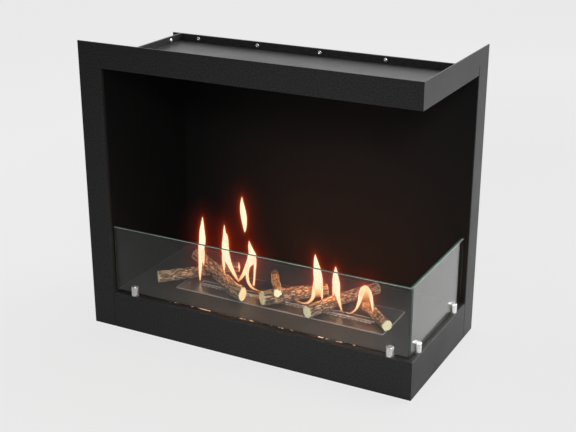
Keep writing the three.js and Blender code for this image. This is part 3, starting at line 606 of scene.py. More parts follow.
def ceramic_wool():
    material, bench, shader = new_finish("ceramic wool")
    place = bench.place()
    fibres_x = use_group(bench, brushed_lines, {"Place": place, "Stretch": (90.0, 1500.0, 1500.0)})
    fibres_y = use_group(bench, brushed_lines, {"Place": place, "Stretch": (1500.0, 90.0, 1500.0)})
    tangle = bench.maths("MAXIMUM", fibres_x["Height"], fibres_y["Height"])
    clouds = bench.noise(place, 40.0, detail=3.0)
    base = bench.colour(clouds, rgb(0.6, 0.55, 0.47), rgb(0.76, 0.73, 0.66))
    bench.dress(shader, {
        "Base Color": base,
        "Roughness": bench.spread(tangle, 0.4, 0.8, 0.85, 1.0),
        "Normal": bench.bump(tangle, 0.6 * MM, 0.8),
    })
    return material


liner = soft_liner()
wool = ceramic_wool()


# %% [markdown]
# Each CAD piece takes the finish of its material slot in the record. Sheet metal also gets a small
# real bevel, which is what catches the light on a folded sheet: the triangles' corners are welded,
# then the edges are rounded by a third of a millimetre.

# %% Give the CAD pieces their finishes
SLOT_FINISHES = {
    "black_steel": black_coat,
    "stainless_steel": stainless,
    "chrome": chrome,
    "zinc_plated_steel": zinc,
    "pad_liner": liner,
    "ceramic_fibre": wool,
}
SHEET_BEVEL = 0.3 * MM
WELD_REACH = 0.002 * MM
BEVEL_OVER = math.radians(50)


def soften_edges(obj, width):
    weld = obj.modifiers.new("weld", "WELD")
    weld.merge_threshold = WELD_REACH
    bevel = obj.modifiers.new("bevel", "BEVEL")
    bevel.width = width
    bevel.segments = 2
    bevel.limit_method = "ANGLE"
    bevel.angle_limit = BEVEL_OVER
    bevel.use_clamp_overlap = True


def give(obj, material):
    if not obj.material_slots:
        obj.data.materials.append(material)
    for slot in obj.material_slots:
        slot.material = material


slot_of = {part["node"]: part["material_slot"] for part in frame["record"]["subparts"]}
for name, slot in slot_of.items():
    if slot in SLOT_FINISHES:
        give(nodes[name], SLOT_FINISHES[slot])
    if slot in ("black_steel", "stainless_steel") and name != "flame_grille":
        soften_edges(nodes[name], SHEET_BEVEL)
print("finished", len(slot_of), "pieces")


# %% [markdown]
# New pieces are built from rings of points: a turned part has rings about an axis, a branch has
# rings along a bent line, a flame along a rising one. One helper joins rings to a closed skin.

# %% Helpers for new pieces
def skin(rings):
    """Vertices and faces of a closed skin over rings of equal count, with a point at each end."""
    count = len(rings[0])
    points = [point for ring in rings for point in ring]
    faces = []
    for i in range(len(rings) - 1):
        for k in range(count):
            here, after = i * count + k, i * count + (k + 1) % count
            faces.append((here, after, after + count, here + count))
    for ring, start, turn in ((rings[0], 0, 1), (rings[-1], (len(rings) - 1) * count, -1)):
        middle = len(points)
        points.append(sum((Vector(p) for p in ring), Vector()) / count)
        for k in range(count):
            corners = (middle, start + (k + 1) % count, start + k)
            faces.append(corners[::turn])
    return points, faces


def new_piece(name, points, faces, material, body, slot=None, smooth=True):
    mesh = bpy.data.meshes.new(name)
    mesh.from_pydata([tuple(p) for p in points], [], faces)
    mesh.polygons.foreach_set("use_smooth", [smooth] * len(mesh.polygons))
    mesh.materials.append(material)
    obj = bpy.data.objects.new(name, mesh)
    scene.collection.objects.link(obj)
    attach(obj, body)
    return obj


def settle(obj):
    """Works the object's modifiers into its mesh."""
    bpy.context.view_layer.update()
    evaluated = obj.evaluated_get(bpy.context.evaluated_depsgraph_get())
    mesh = bpy.data.meshes.new_from_object(evaluated)
    obj.modifiers.clear()
    obj.data = mesh


def carve(obj, cutter_points, cutter_faces, operation="DIFFERENCE"):
    """Cuts a closed form out of the object, or keeps only what they share."""
    mesh = bpy.data.meshes.new("cutter")
    mesh.from_pydata([tuple(p) for p in cutter_points], [], cutter_faces)
    cutter = bpy.data.objects.new("cutter", mesh)
    scene.collection.objects.link(cutter)
    modifier = obj.modifiers.new("carve", "BOOLEAN")
    modifier.operation = operation
    modifier.object = cutter
    modifier.solver = "EXACT"
    settle(obj)
    bpy.data.objects.remove(cutter)


def turned_rings(profile, sides, frame_matrix=Matrix.Identity(4)):
    """Rings of a profile of (radius, height) pairs turned about an axis."""
    rings = []
    for radius, height in profile:
        ring = []
        for k in range(sides):
            angle = 2 * math.pi * k / sides
            ring.append(frame_matrix @ Vector((radius * math.cos(angle), radius * math.sin(angle), height)))
        rings.append(ring)
    return rings


def box_skin(low, high):
    plan = ((low[0], low[1]), (high[0], low[1]), (high[0], high[1]), (low[0], high[1]))
    points = [Vector((x, y, z)) for z in (low[2], high[2]) for x, y in plan]
    faces = [(3, 2, 1, 0), (4, 5, 6, 7), (0, 1, 5, 4), (1, 2, 6, 5), (2, 3, 7, 6), (3, 0, 4, 7)]
    return points, faces


def shade_flat_faces(obj, angle=35):
    """Smooth on the round, crisp at the edges."""
    obj.data.shade_smooth()
    obj.data.set_sharp_from_angle(angle=math.radians(angle))


# %% [markdown]
# The four posts that clamp the panes are turned, with a slot for the pane. Each takes its radius,
# height, slot and slot floor from the CAD solids: the post, the pane that it holds and the liner in
# the slot. A finer roundness and softened rims make the highlights run clean.

# %% Polished posts
POST_SIDES = 72
RIM_ROUND = 1.2 * MM
RIM_STEPS = 5
SLOT_PLAY = 0.75 * MM
OVERCUT = 1 * MM
STUD_SHARE = 0.375
POST_EDGE = 0.3 * MM
SLOT_BEVEL = 0.2 * MM
POSTS = ("front_left", "front_right", "side_front", "side_rear")


def rounded_rim(radius, top, rounding, steps):
    """Profile points of a quarter round from the side of a bar to its end face."""
    points = []
    for k in range(steps + 1):
        angle = 0.5 * math.pi * k / steps
        points.append((radius - rounding * (1 - math.cos(angle)), top - rounding * (1 - math.sin(angle))))
    return points


def polished_post(place):
    node = f"glass_clamp_{place}"
    low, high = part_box(node)
    radius = (high.x - low.x) / 2
    stud = STUD_SHARE * radius
    centre = Vector(((low.x + high.x) / 2, (low.y + high.y) / 2, 0.0))
    profile = [(stud - POST_EDGE, low.z), (stud, low.z + POST_EDGE), (stud, HEARTH_TOP)]
    profile += [(radius - POST_EDGE, HEARTH_TOP), (radius, HEARTH_TOP + POST_EDGE)]
    profile += rounded_rim(radius, high.z, RIM_ROUND, RIM_STEPS)
    points, faces = skin(turned_rings(profile, POST_SIDES, Matrix.Translation(centre)))
    post = new_piece(f"post_{place}", points, faces, chrome, "housing", "chrome")
    side = place.split("_")[0]
    thin = 1 if side == "front" else 0
    long = 1 - thin
    pane_low, pane_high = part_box(f"{side}_glass")
    slot_low, slot_high = Vector(low), Vector(high)
    slot_low[thin], slot_high[thin] = pane_low[thin] - SLOT_PLAY, pane_high[thin] + SLOT_PLAY
    slot_low[long], slot_high[long] = low[long] - OVERCUT, high[long] + OVERCUT
    slot_low.z, slot_high.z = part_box(f"clamp_pad_{place}")[0].z, high.z + OVERCUT
    carve(post, *box_skin(slot_low, slot_high))
    shade_flat_faces(post)
    soften_edges(post, SLOT_BEVEL)
    settle(post)
    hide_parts(node)
    return post


posts = [polished_post(place) for place in POSTS]
print("turned", len(posts), "posts of", len(posts[0].data.polygons), "faces")


# %% [markdown]
# A row of short pressed ribs runs along the front of the burner's slot and stiffens the plate. Each
# is a low bar with rounded edges. The row is one piece, at an even pitch over the slot's length.

# %% Pressed ribs before the slot
RIB = Vector((5.5, 2.6, 0.7)) * MM
RIB_SINK = 0.2 * MM
RIB_PITCH = 9 * MM
RIB_ROW = slot_middle - 13 * MM
RIB_EDGE = 0.4 * MM
RIB_CREASE = 60


def pressed_ribs():
    count = int((grille_high.x - grille_low.x) / RIB_PITCH)
    middle = (grille_low.x + grille_high.x) / 2
    points, faces = [], []
    for i in range(count):
        x = middle + RIB_PITCH * (i - (count - 1) / 2)
        corner = Vector((x - RIB.x / 2, RIB_ROW - RIB.y / 2, PLATE_TOP - RIB_SINK))
        opposite = corner + RIB + Vector((0, 0, RIB_SINK))
        rib_points, rib_faces = box_skin(corner, opposite)
        faces += [tuple(k + len(points) for k in face) for face in rib_faces]
        points += rib_points
    ribs = new_piece("slot_ribs", points, faces, stainless, "burner", "stainless_steel", smooth=False)
    soften_edges(ribs, RIB_EDGE)
    settle(ribs)
    shade_flat_faces(ribs, RIB_CREASE)
    return count


print("pressed", pressed_ribs(), "ribs")


# %% [markdown]
# A pane is a slab with a small polished chamfer round both faces; the edge finish paints a highlight
# on it, the bright line along the top of a glass guard. Every face that doesn't look along the thin axis
# gets the edge finish.
# Thin clear glass throws no shadow to speak of, so the panes let the lamps through.

# %% Glass panes
PANES = {"front_glass": (1, "front_pane"), "side_glass": (0, "side_pane")}
PANE_CHAMFER = 0.4 * MM
FACE_ON = 0.95


def chamfered_pane(node, thin, body):
    name = node.replace("glass", "pane")
    pane = new_piece(name, *box_skin(*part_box(node)), glass_faces, body, "clear_glass", smooth=False)
    bevel = pane.modifiers.new("chamfer", "BEVEL")
    bevel.width = PANE_CHAMFER
    bevel.segments = 1
    settle(pane)
    pane.data.materials.append(glass_edges)
    for face in pane.data.polygons:
        face.material_index = 0 if abs(face.normal[thin]) > FACE_ON else 1
    pane.visible_shadow = False
    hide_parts(node)
    return pane


panes = [chamfered_pane(node, thin, body) for node, (thin, body) in PANES.items()]
print("cut", len(panes), "panes,", [round(max(pane.dimensions) / MM) for pane in panes], "mm long")


# %% [markdown]
# The ceiling is held by domed screws with a hexagon socket, and nuts outside the walls. The nuts'
# chamfered corners come from cutting a hexagon bar with a cone. The box of the CAD solid says where
# a fastener sits, and its name says which wall it goes through.

# %% Screws and nuts
SCREW_SIDES = 40
SOCKET_FLATS = 2.9 * MM
SOCKET_DEPTH = 1.5 * MM
HEAD_HEIGHT = 2.8 * MM
HEAD_EDGE = 0.2 * MM
SHANK_TIP = 0.4 * MM
DOME_STEPS = 9
FLAT_TIP = 0.1
SHANK_SHARE = 0.58
NUT_BORE_SHARE = 0.62
NUT_FACE_SHARE = 0.97
NUT_CHAMFER = 0.56
CONE_PLAY = 0.2 * MM


def hexagon_rings(across_flats, low, high, place):
    corner = across_flats / math.sqrt(3)
    return turned_rings([(corner, low), (corner, high)], 6, place)


def wall_frame(node, axis, seat):
    """A frame on the seat of a fastener, with +Z along the axis."""
    low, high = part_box(node)
    centre = (low + high) / 2
    turn = Vector(axis).to_track_quat("Z", "Y").to_matrix().to_4x4()
    along = [abs(v) for v in axis].index(1.0)
    centre[along] = seat[along]
    return Matrix.Translation(centre) @ turn


def domed_screw(node, axis):
    low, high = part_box(node)
    along = [abs(v) for v in axis].index(1.0)
    radius = (high - low)[(along + 1) % 3] / 2
    length = (high - low)[along]
    head_end = high if axis[along] > 0 else low
    seat = Vector(head_end) - Vector(axis) * HEAD_HEIGHT
    place = wall_frame(node, axis, seat)
    shank = SHANK_SHARE * radius
    profile = [(shank - SHANK_TIP, HEAD_HEIGHT - length), (shank, HEAD_HEIGHT - length + SHANK_TIP)]
    profile += [(shank, 0.0), (radius - HEAD_EDGE, 0.0), (radius, HEAD_EDGE)]
    for k in range(1, DOME_STEPS):
        angle = 0.5 * math.pi * k / DOME_STEPS
        profile.append((radius * math.cos(angle), HEAD_EDGE + (HEAD_HEIGHT - HEAD_EDGE) * math.sin(angle)))
    profile.append((FLAT_TIP * radius, HEAD_HEIGHT))
    body = skin(turned_rings(profile, SCREW_SIDES, place))
    name = node.replace("ceiling_", "domed_")
    screw = new_piece(name, *body, zinc, "housing", "zinc_plated_steel")
    socket = skin(hexagon_rings(SOCKET_FLATS, HEAD_HEIGHT - SOCKET_DEPTH, HEAD_HEIGHT + OVERCUT, place))
    carve(screw, *socket)
    shade_flat_faces(screw)
    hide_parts(node)
    return screw


def chamfered_nut(node, axis):
    low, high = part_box(node)
    along = [abs(v) for v in axis].index(1.0)
    spans = sorted((high - low)[i] for i in range(3) if i != along)
    flats, thick = spans[0], (high - low)[along]
    seat = low if axis[along] > 0 else high
    place = wall_frame(node, axis, seat)
    bar = skin(hexagon_rings(flats, 0.0, thick, place))
    name = node.replace("nut", "hex_nut")
    nut = new_piece(name, *bar, zinc, "housing", "zinc_plated_steel", smooth=False)
    corner = flats / math.sqrt(3)
    wide = corner + CONE_PLAY
    rim = NUT_FACE_SHARE * flats / 2
    drop = NUT_CHAMFER * (corner - rim)
    tip = rim - (wide - rim) * OVERCUT / drop
    cone = [(tip, -OVERCUT), (wide, drop), (wide, thick - drop), (tip, thick + OVERCUT)]
    carve(nut, *skin(turned_rings(cone, SCREW_SIDES, place)), operation="INTERSECT")
    bore = NUT_BORE_SHARE * corner
    hole = [(bore, -OVERCUT), (bore, thick + OVERCUT)]
    carve(nut, *skin(turned_rings(hole, SCREW_SIDES, place)))
    shade_flat_faces(nut)
    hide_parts(node)
    return nut


FASTENERS = {
    "ceiling_screw_rear": (domed_screw, (0.0, -1.0, 0.0)),
    "ceiling_screw_left": (domed_screw, (1.0, 0.0, 0.0)),
    "ceiling_nut_rear": (chamfered_nut, (0.0, 1.0, 0.0)),
    "ceiling_nut_left": (chamfered_nut, (-1.0, 0.0, 0.0)),
    "clamp_nut": (chamfered_nut, (0.0, 0.0, 1.0)),
}
fasteners = []
for name in sorted(nodes):
    for start, (make, axis) in FASTENERS.items():
        if name.startswith(start):
            fasteners.append(make(name, axis))
print("made", len(fasteners), "fasteners")


# %% [markdown]
# The branches are cast ceramic, painted as bark, with pale sawn ends. The fine branch follows the
# bent taper of its CAD solid exactly: the solid is sliced square to its chord, and the centre and
# the area of each slice give a point and a radius of the bent axis. The sawn faces give the ends.

# %% Measure a branch
SLICES = 15
SLICE_MARGIN = 0.13
CAP_FACING = 0.8


def welded_triangles(node):
    mesh = nodes[node].data
    mesh.calc_loop_triangles()
    return [[mesh.vertices[i].co.copy() for i in tri.vertices] for tri in mesh.loop_triangles]


def sawn_face(triangles, outward):
    """Centre, normal and radius of the end whose faces look outward."""
    area, centre, normal = 0.0, Vector(), Vector()
    for a, b, c in triangles:
        cross = (b - a).cross(c - a) / 2
        if cross.length > 0 and cross.normalized().dot(outward) > CAP_FACING:
            area += cross.length
            centre += cross.length * (a + b + c) / 3
            normal += cross
    return centre / area, normal.normalized(), math.sqrt(area / math.pi)


def slice_branch(triangles, origin, chord):
    """Centre and area of the slice through origin, square to chord."""
    side = chord.orthogonal().normalized()
    up = chord.cross(side).normalized()
    cuts = []
    for triangle in triangles:
        heights = [(p - origin).dot(chord) for p in triangle]
        for i in range(3):
            k = (i + 1) % 3
            if heights[i] * heights[k] < 0:
                share = heights[i] / (heights[i] - heights[k])
                point = triangle[i].lerp(triangle[k], share) - origin
                cuts.append((point.dot(side), point.dot(up)))
    mean = (sum(c[0] for c in cuts) / len(cuts), sum(c[1] for c in cuts) / len(cuts))
    cuts.sort(key=lambda c: math.atan2(c[1] - mean[1], c[0] - mean[0]))
    area, sum_x, sum_y = 0.0, 0.0, 0.0
    for (x0, y0), (x1, y1) in zip(cuts, cuts[1:] + cuts[:1]):
        cross = x0 * y1 - x1 * y0
        area += cross / 2
        sum_x += (x0 + x1) * cross / 6
        sum_y += (y0 + y1) * cross / 6
    return origin + side * (sum_x / area) + up * (sum_y / area), area


def measured_axis(node):
    """Points on the branch's axis from end to end, each with the branch's radius there."""
    triangles = welded_triangles(node)
    corners = [p for triangle in triangles for p in triangle]
    centre = sum(corners, Vector()) / len(corners)
    far = max(corners, key=lambda p: (p - centre).length)
    near = max(corners, key=lambda p: (p - far).length)
    chord = (far - near).normalized()
    start, start_normal, start_radius = sawn_face(triangles, -chord)
    end, end_normal, end_radius = sawn_face(triangles, chord)
    chord = (end - start).normalized()
    points, areas = [], []
    for k in range(SLICES):
        share = SLICE_MARGIN + (1 - 2 * SLICE_MARGIN) * k / (SLICES - 1)
        point, area = slice_branch(triangles, start.lerp(end, share), chord)
        points.append(point)
        areas.append(area)
    points = [start] + points + [end]
    radii = [start_radius]
    for k, area in enumerate(areas, start=1):
        tangent = (points[k + 1] - points[k - 1]).normalized()
        radii.append(math.sqrt(area * abs(tangent.dot(chord)) / math.pi))
    radii.append(end_radius)
    return points, radii, (-start_normal, end_normal)


branch_nodes = sorted(name for name in nodes if name.startswith("log_"))
branch_axes = {name: measured_axis(name) for name in branch_nodes}
for name, (points, radii, _) in branch_axes.items():
    length = sum((b - a).length for a, b in zip(points, points[1:]))
    print(f"{name}: {length / MM:.0f} mm long, radius {radii[0] / MM:.1f} to {radii[-1] / MM:.1f} mm")


# %% [markdown]
# Bark is split skin: long scales with rounded backs and dark cracks between them. Cell noise gives
# just that. Each point of the unrolled branch lies in the cell of its nearest seed, and where the
# two nearest are equally far there is a crack. The cells are stretched along the branch and made to
# wander. The unrolled place and the height go with each vertex as attributes, for the colours.

# %% Bark relief
BARK_SIDES = 132
BARK_STEP = 1.0 * MM
SCALES_ACROSS = 290.0
SCALES_ALONG = 62.0
CRACK_SHARE = 0.4
BARK_DEPTH = 1.7 * MM
BARK_CREST = 0.8 * MM
WANDER_SCALE, WANDER_REACH = 90, 1.6 * MM
SWELL_DEPTH = 0.5 * MM
KNOB_DEPTH = 1.5 * MM
END_ROUND = 0.4 * MM
CUT_RINGS = 14
CUT_DISH = 0.35 * MM
CUT_CHIPS = 0.12 * MM
SEED_STEP = 3.7
RIM_HIGHLIGHT = 0.25
RIM_HIGHLIGHT_REACH = 2.2 * MM


def unrolled(angle, along, radius, seed):
    """A place in space whose noise follows the bark round and along the branch."""
    return Vector((radius * math.cos(angle), radius * math.sin(angle), along + SEED_STEP * seed))


def bark_height(place):
    """Height of the bark from 0 in a crack to 1 on the back of a scale."""
    lead = place * WANDER_SCALE
    wander = Vector((noise.noise(lead), noise.noise(lead + Vector((9, 0, 0))), 0)) * WANDER_REACH
    squeezed = Vector((*((place + wander).xy * SCALES_ACROSS), place.z * SCALES_ALONG))
    near, next_near = noise.voronoi(squeezed)[0][:2]
    scale = min(1.0, (next_near - near) / CRACK_SHARE) ** 0.7
    ribs = noise.noise(Vector((*(place.xy * 620), place.z * 90)))
    chips = noise.noise(Vector((*(place.xy * 1500), place.z * 900)))
    return max(0.0, min(1.0, 0.82 * scale + 0.22 * ribs + 0.14 * chips + 0.08))


def swell(place):
    """Slow bumps of the whole branch."""
    return noise.noise(place * 42)


def knobs(place):
    """Hollows between the knobs of the bark, as a share from 0 to 1."""
    return max(0.0, min(1.0, 0.5 + 1.1 * noise.noise(Vector((*(place.xy * 150), place.z * 60)))))


def smooth_at(points, share):
    """The value at a share of a smooth line through the given ones: a cubic spline."""
    place = share * (len(points) - 1)
    i = min(int(place), len(points) - 2)
    t = place - i
    p0, p1, p2, p3 = (points[max(0, min(len(points) - 1, i + k))] for k in (-1, 0, 1, 2))
    bend = 2 * p0 - 5 * p1 + 4 * p2 - p3
    twist = 3 * p1 - p0 - 3 * p2 + p3
    return 0.5 * (2 * p1 + (p2 - p0) * t + bend * t**2 + twist * t**3)


print("bark scales about", round(1000 / SCALES_ACROSS, 1), "mm wide and", BARK_DEPTH / MM, "mm deep")


# %% [markdown]
# The finish of a branch is a mix of two: the bark, dark in the furrows and lighter on the ridges,
# partly its own colour and partly painted shade in the cracks, and the sawn wood, cream with fine
# growth rings and a darker heart. An attribute says which part of the mesh is which, and it also
# gives the bark next to each sawn end a pale rim, a painted highlight.

# %% Finish: ceramic bark with sawn ends
def ceramic_bark():
    material, bench, shader = new_finish("ceramic bark")
    place = bench.attribute("unrolled", "Vector")
    height = bench.attribute("ridge")
    sawn_and_rim_highlight = bench.attribute("sawn_and_rim_highlight")
    lines = use_group(bench, brushed_lines, {"Place": place, "Stretch": (900.0, 900.0, 120.0)})
    patches = bench.spread(bench.noise(place, 70.0, detail=4.0), 0.3, 0.7)
    # Near-black furrows and lighter ridges, by the relief's height: partly the bark's own colour, partly
    # painted shade in the cracks.
    low = bench.colour(patches, rgb(0.012, 0.007, 0.004), rgb(0.035, 0.022, 0.012))
    high = bench.colour(patches, rgb(0.2, 0.13, 0.075), rgb(0.56, 0.4, 0.26))
    ridge = bench.spread(bench.plus(height, bench.times(lines["Height"], 0.4)), 0.6, 1.15)
    bark = bench.colour(ridge, low, high)
    fleck = bench.spread(bench.noise(place, 420.0, detail=2.0), 0.58, 0.7)
    bark = bench.colour(bench.times(fleck, 0.35), bark, rgb(0.5, 0.4, 0.3))
    flat = bench.stretched(place, (1.0, 1.0, 0.0))
    from_heart = bench.vector("LENGTH", flat, output="Value")
    uneven = bench.times(bench.noise(place, 130.0, detail=3.0), 1.2 * MM)
    rings = bench.maths("SINE", bench.times(bench.plus(from_heart, uneven), 5200.0))
    rings = bench.spread(rings, -1.0, 1.0)
    cream = bench.colour(rings, rgb(0.76, 0.7, 0.41), rgb(0.9, 0.85, 0.57))
    heart = bench.spread(from_heart, 0.0, 3.0 * MM, 0.3, 0.0)
    cream = bench.colour(heart, cream, rgb(0.6, 0.5, 0.28))
    # This mixes cream into the sawn faces, and into the bark's last millimetres at each end as a painted
    # highlight on the cut's rim.
    rim = bench.spread(sawn_and_rim_highlight, 0.0, 0.5)
    relief = bench.number(sawn_and_rim_highlight, lines["Height"], bench.times(rings, 0.3))
    bench.dress(shader, {
        "Base Color": bench.colour(rim, bark, cream),
        "Roughness": bench.number(sawn_and_rim_highlight, 0.8, 0.72),
        "Normal": bench.bump(relief, 0.25 * MM, 0.6),
    })
    return material


bark_finish = ceramic_bark()


# %% [markdown]
# A branch is lofted along its measured axis. Each ring stands square to the axis, with one side
# level, so the scales don't twist. Nobody saws quite square: two ends are turned a little, and the
# rings near them lean along. The sawn ends are slightly dished and keep the bark's ragged outline.

# %% Loft the branches
SAW_TURNS = {"log_1": ("left", math.radians(-6)), "log_2": ("right", math.radians(22))}
ENDS_LEAN = 8  # the rings of the last eighth lean to the cut
FEWEST_RINGS = 24


def turned_caps(name, points, caps):
    """The outward directions of both ends, with the saw's turn about the upright applied."""
    side, turn = SAW_TURNS.get(name, ("left", 0.0))
    first_is_it = (points[0].x < points[-1].x) == (side == "left")
    turns = (turn, 0.0) if first_is_it else (0.0, turn)
    return [Matrix.Rotation(angle, 3, "Z") @ cap for angle, cap in zip(turns, caps)]


def branch_frames(points, caps, count):
    """Centre, sideways and upward directions of `count` rings along the axis."""
    shares = [k / (count - 1) for k in range(count)]
    centres = [smooth_at(points, share) for share in shares]
    frames = []
    for k, centre in enumerate(centres):
        ahead = centres[min(k + 1, count - 1)] - centres[max(k - 1, 0)]
        tangent = ahead.normalized()
        to_start, to_end = (max(0.0, 1 - ENDS_LEAN * way) for way in (shares[k], 1 - shares[k]))
        leaning = tangent * (1 - to_start - to_end) + caps[0] * to_start + caps[1] * to_end
        tangent = leaning.normalized()
        sideways = tangent.cross(Vector((0, 0, 1))).normalized()
        frames.append((centre, sideways, sideways.cross(tangent).normalized(), tangent))
    return frames


def loft_branch(name, number):
    points, radii, caps = branch_axes[name]
    length = sum((b - a).length for a, b in zip(points, points[1:]))
    count = max(FEWEST_RINGS, round(length / BARK_STEP))
    frames = branch_frames(points, turned_caps(name, points, caps), count)
    rings, attributes = [], []
    for k, (centre, sideways, upward, tangent) in enumerate(frames):
        share = k / (count - 1)
        along = share * length
        radius = smooth_at(radii, share)
        to_end = min(along, length - along)
        tuck = END_ROUND * max(0.0, 1 - to_end / (2 * END_ROUND)) ** 2
        ring = []
        for j in range(BARK_SIDES):
            angle = 2 * math.pi * j / BARK_SIDES
            place = unrolled(angle, along, radius, number)
            height = bark_height(place)
            hollow = KNOB_DEPTH * knobs(place) + BARK_DEPTH * (1 - height)
            out = radius + BARK_CREST + SWELL_DEPTH * swell(place) - hollow - tuck
            direction = sideways * math.cos(angle) + upward * math.sin(angle)
            ring.append(centre + direction * out)
            # Bark near each end gets a small share of cream: a painted highlight on the cut's rim.
            attributes.append((place, height, RIM_HIGHLIGHT * max(0.0, 1 - to_end / RIM_HIGHLIGHT_REACH)))
        rings.append(ring)
    rings, attributes = add_sawn_ends(rings, attributes, frames, radii, number)
    obj = new_piece(f"bark_{name}", *skin(rings), bark_finish, body_of[name], "ceramic_bark")
    write_attributes(obj, attributes + [(Vector(), 0.0, 1.0)] * 2)
    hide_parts(name)
    return obj


def add_sawn_ends(rings, attributes, frames, radii, number):
    """Rings from the bark's rim to the heart at both ends, slightly dished and rough."""
    for end, outward in ((0, -1), (-1, 1)):
        ring, (centre, _, _, tangent), radius = rings[end], frames[end], radii[end]
        for k in range(1, CUT_RINGS + 1):
            share = 1 - k / (CUT_RINGS + 1)
            new_ring, new_attributes = [], []
            for j, rim in enumerate(ring):
                spoke = (rim - centre) * share
                angle = 2 * math.pi * j / BARK_SIDES
                chips = noise.noise(spoke * 900 + Vector((0, 0, 5.0 * number + outward))) * CUT_CHIPS
                dish = CUT_DISH * (1 - share**2) - chips
                new_ring.append(centre + spoke - tangent * outward * dish)
                flat = (radius * share * math.cos(angle), radius * share * math.sin(angle), 0.31 * outward)
                new_attributes.append((flat, 0.0, 1.0))
            if outward < 0:
                rings, attributes = [new_ring] + rings, new_attributes + attributes
            else:
                rings, attributes = rings + [new_ring], attributes + new_attributes
    return rings, attributes


def write_numbers(obj, name, values):
    attribute = obj.data.attributes.new(name, "FLOAT", "POINT")
    attribute.data.foreach_set("value", values)


def write_attributes(obj, attributes):
    places = obj.data.attributes.new("unrolled", "FLOAT_VECTOR", "POINT")
    places.data.foreach_set("vector", [v for place, _, _ in attributes for v in place])
    write_numbers(obj, "ridge", [height for _, height, _ in attributes])
    write_numbers(obj, "sawn_and_rim_highlight", [cut for _, _, cut in attributes])


bodies = frame["record"]["behaviour"]["bodies"]
body_of = {node: body for body, members in bodies.items() for node in members}
branches = [loft_branch(name, number) for number, name in enumerate(branch_nodes, start=1)]
print("lofted", len(branches), "branches of", sum(len(b.data.vertices) for b in branches), "points")


# %% [markdown]
# A flame has no surface, but it can be built as a nest of thin skins: a dense near-white core, a
# yellow body and faint red shells that fade outward and hide almost nothing of what is behind them.
# Each point carries two attributes: `warmth` picks the colour and `cover` is the alpha.

# %% Finish: flame
FLAME_STRENGTH = 1.3
FLAME_COLOURS = [
    (0.0, rgb(0.9, 0.035, 0.0)),
    (0.35, rgb(1.0, 0.12, 0.01)),
    (0.55, rgb(1.0, 0.4, 0.12)),
    (0.8, rgb(1.0, 0.78, 0.42)),
    (1.0, rgb(1.0, 0.96, 0.84)),
]
SKINS_IN_A_ROW = 256


def flame_finish():
    material, bench, shader = new_finish("flame")
    warmth = bench.attribute("warmth")
    cover = bench.attribute("cover")
    glow = bench.add("ShaderNodeValToRGB", {0: warmth})
    stops = glow.color_ramp.elements
    for place, colour in FLAME_COLOURS[1:-1]:
        stops.new(place).color = colour
    stops[0].color, stops[-1].color = FLAME_COLOURS[0][1], FLAME_COLOURS[-1][1]
    bench.dress(shader, {
        "Emission Color": glow.outputs[0],
        "Alpha": cover,
        "Emission Strength": FLAME_STRENGTH,
        "Base Color": grey(0.0),
        "Specular IOR Level": 0.0,
        "Roughness": 1.0,
    })
    return material


burning = flame_finish()
scene.cycles.transparent_max_bounces = SKINS_IN_A_ROW


# %% [markdown]
# The flames stand over the slot, in its middle plane. Each is drawn as tongues: a tongue is a row
# of (place along the burner, height over the floor, half width) in millimetres, from its tip to its
# root, with its heat where that is less than 1. A flame that forks has several tongues.

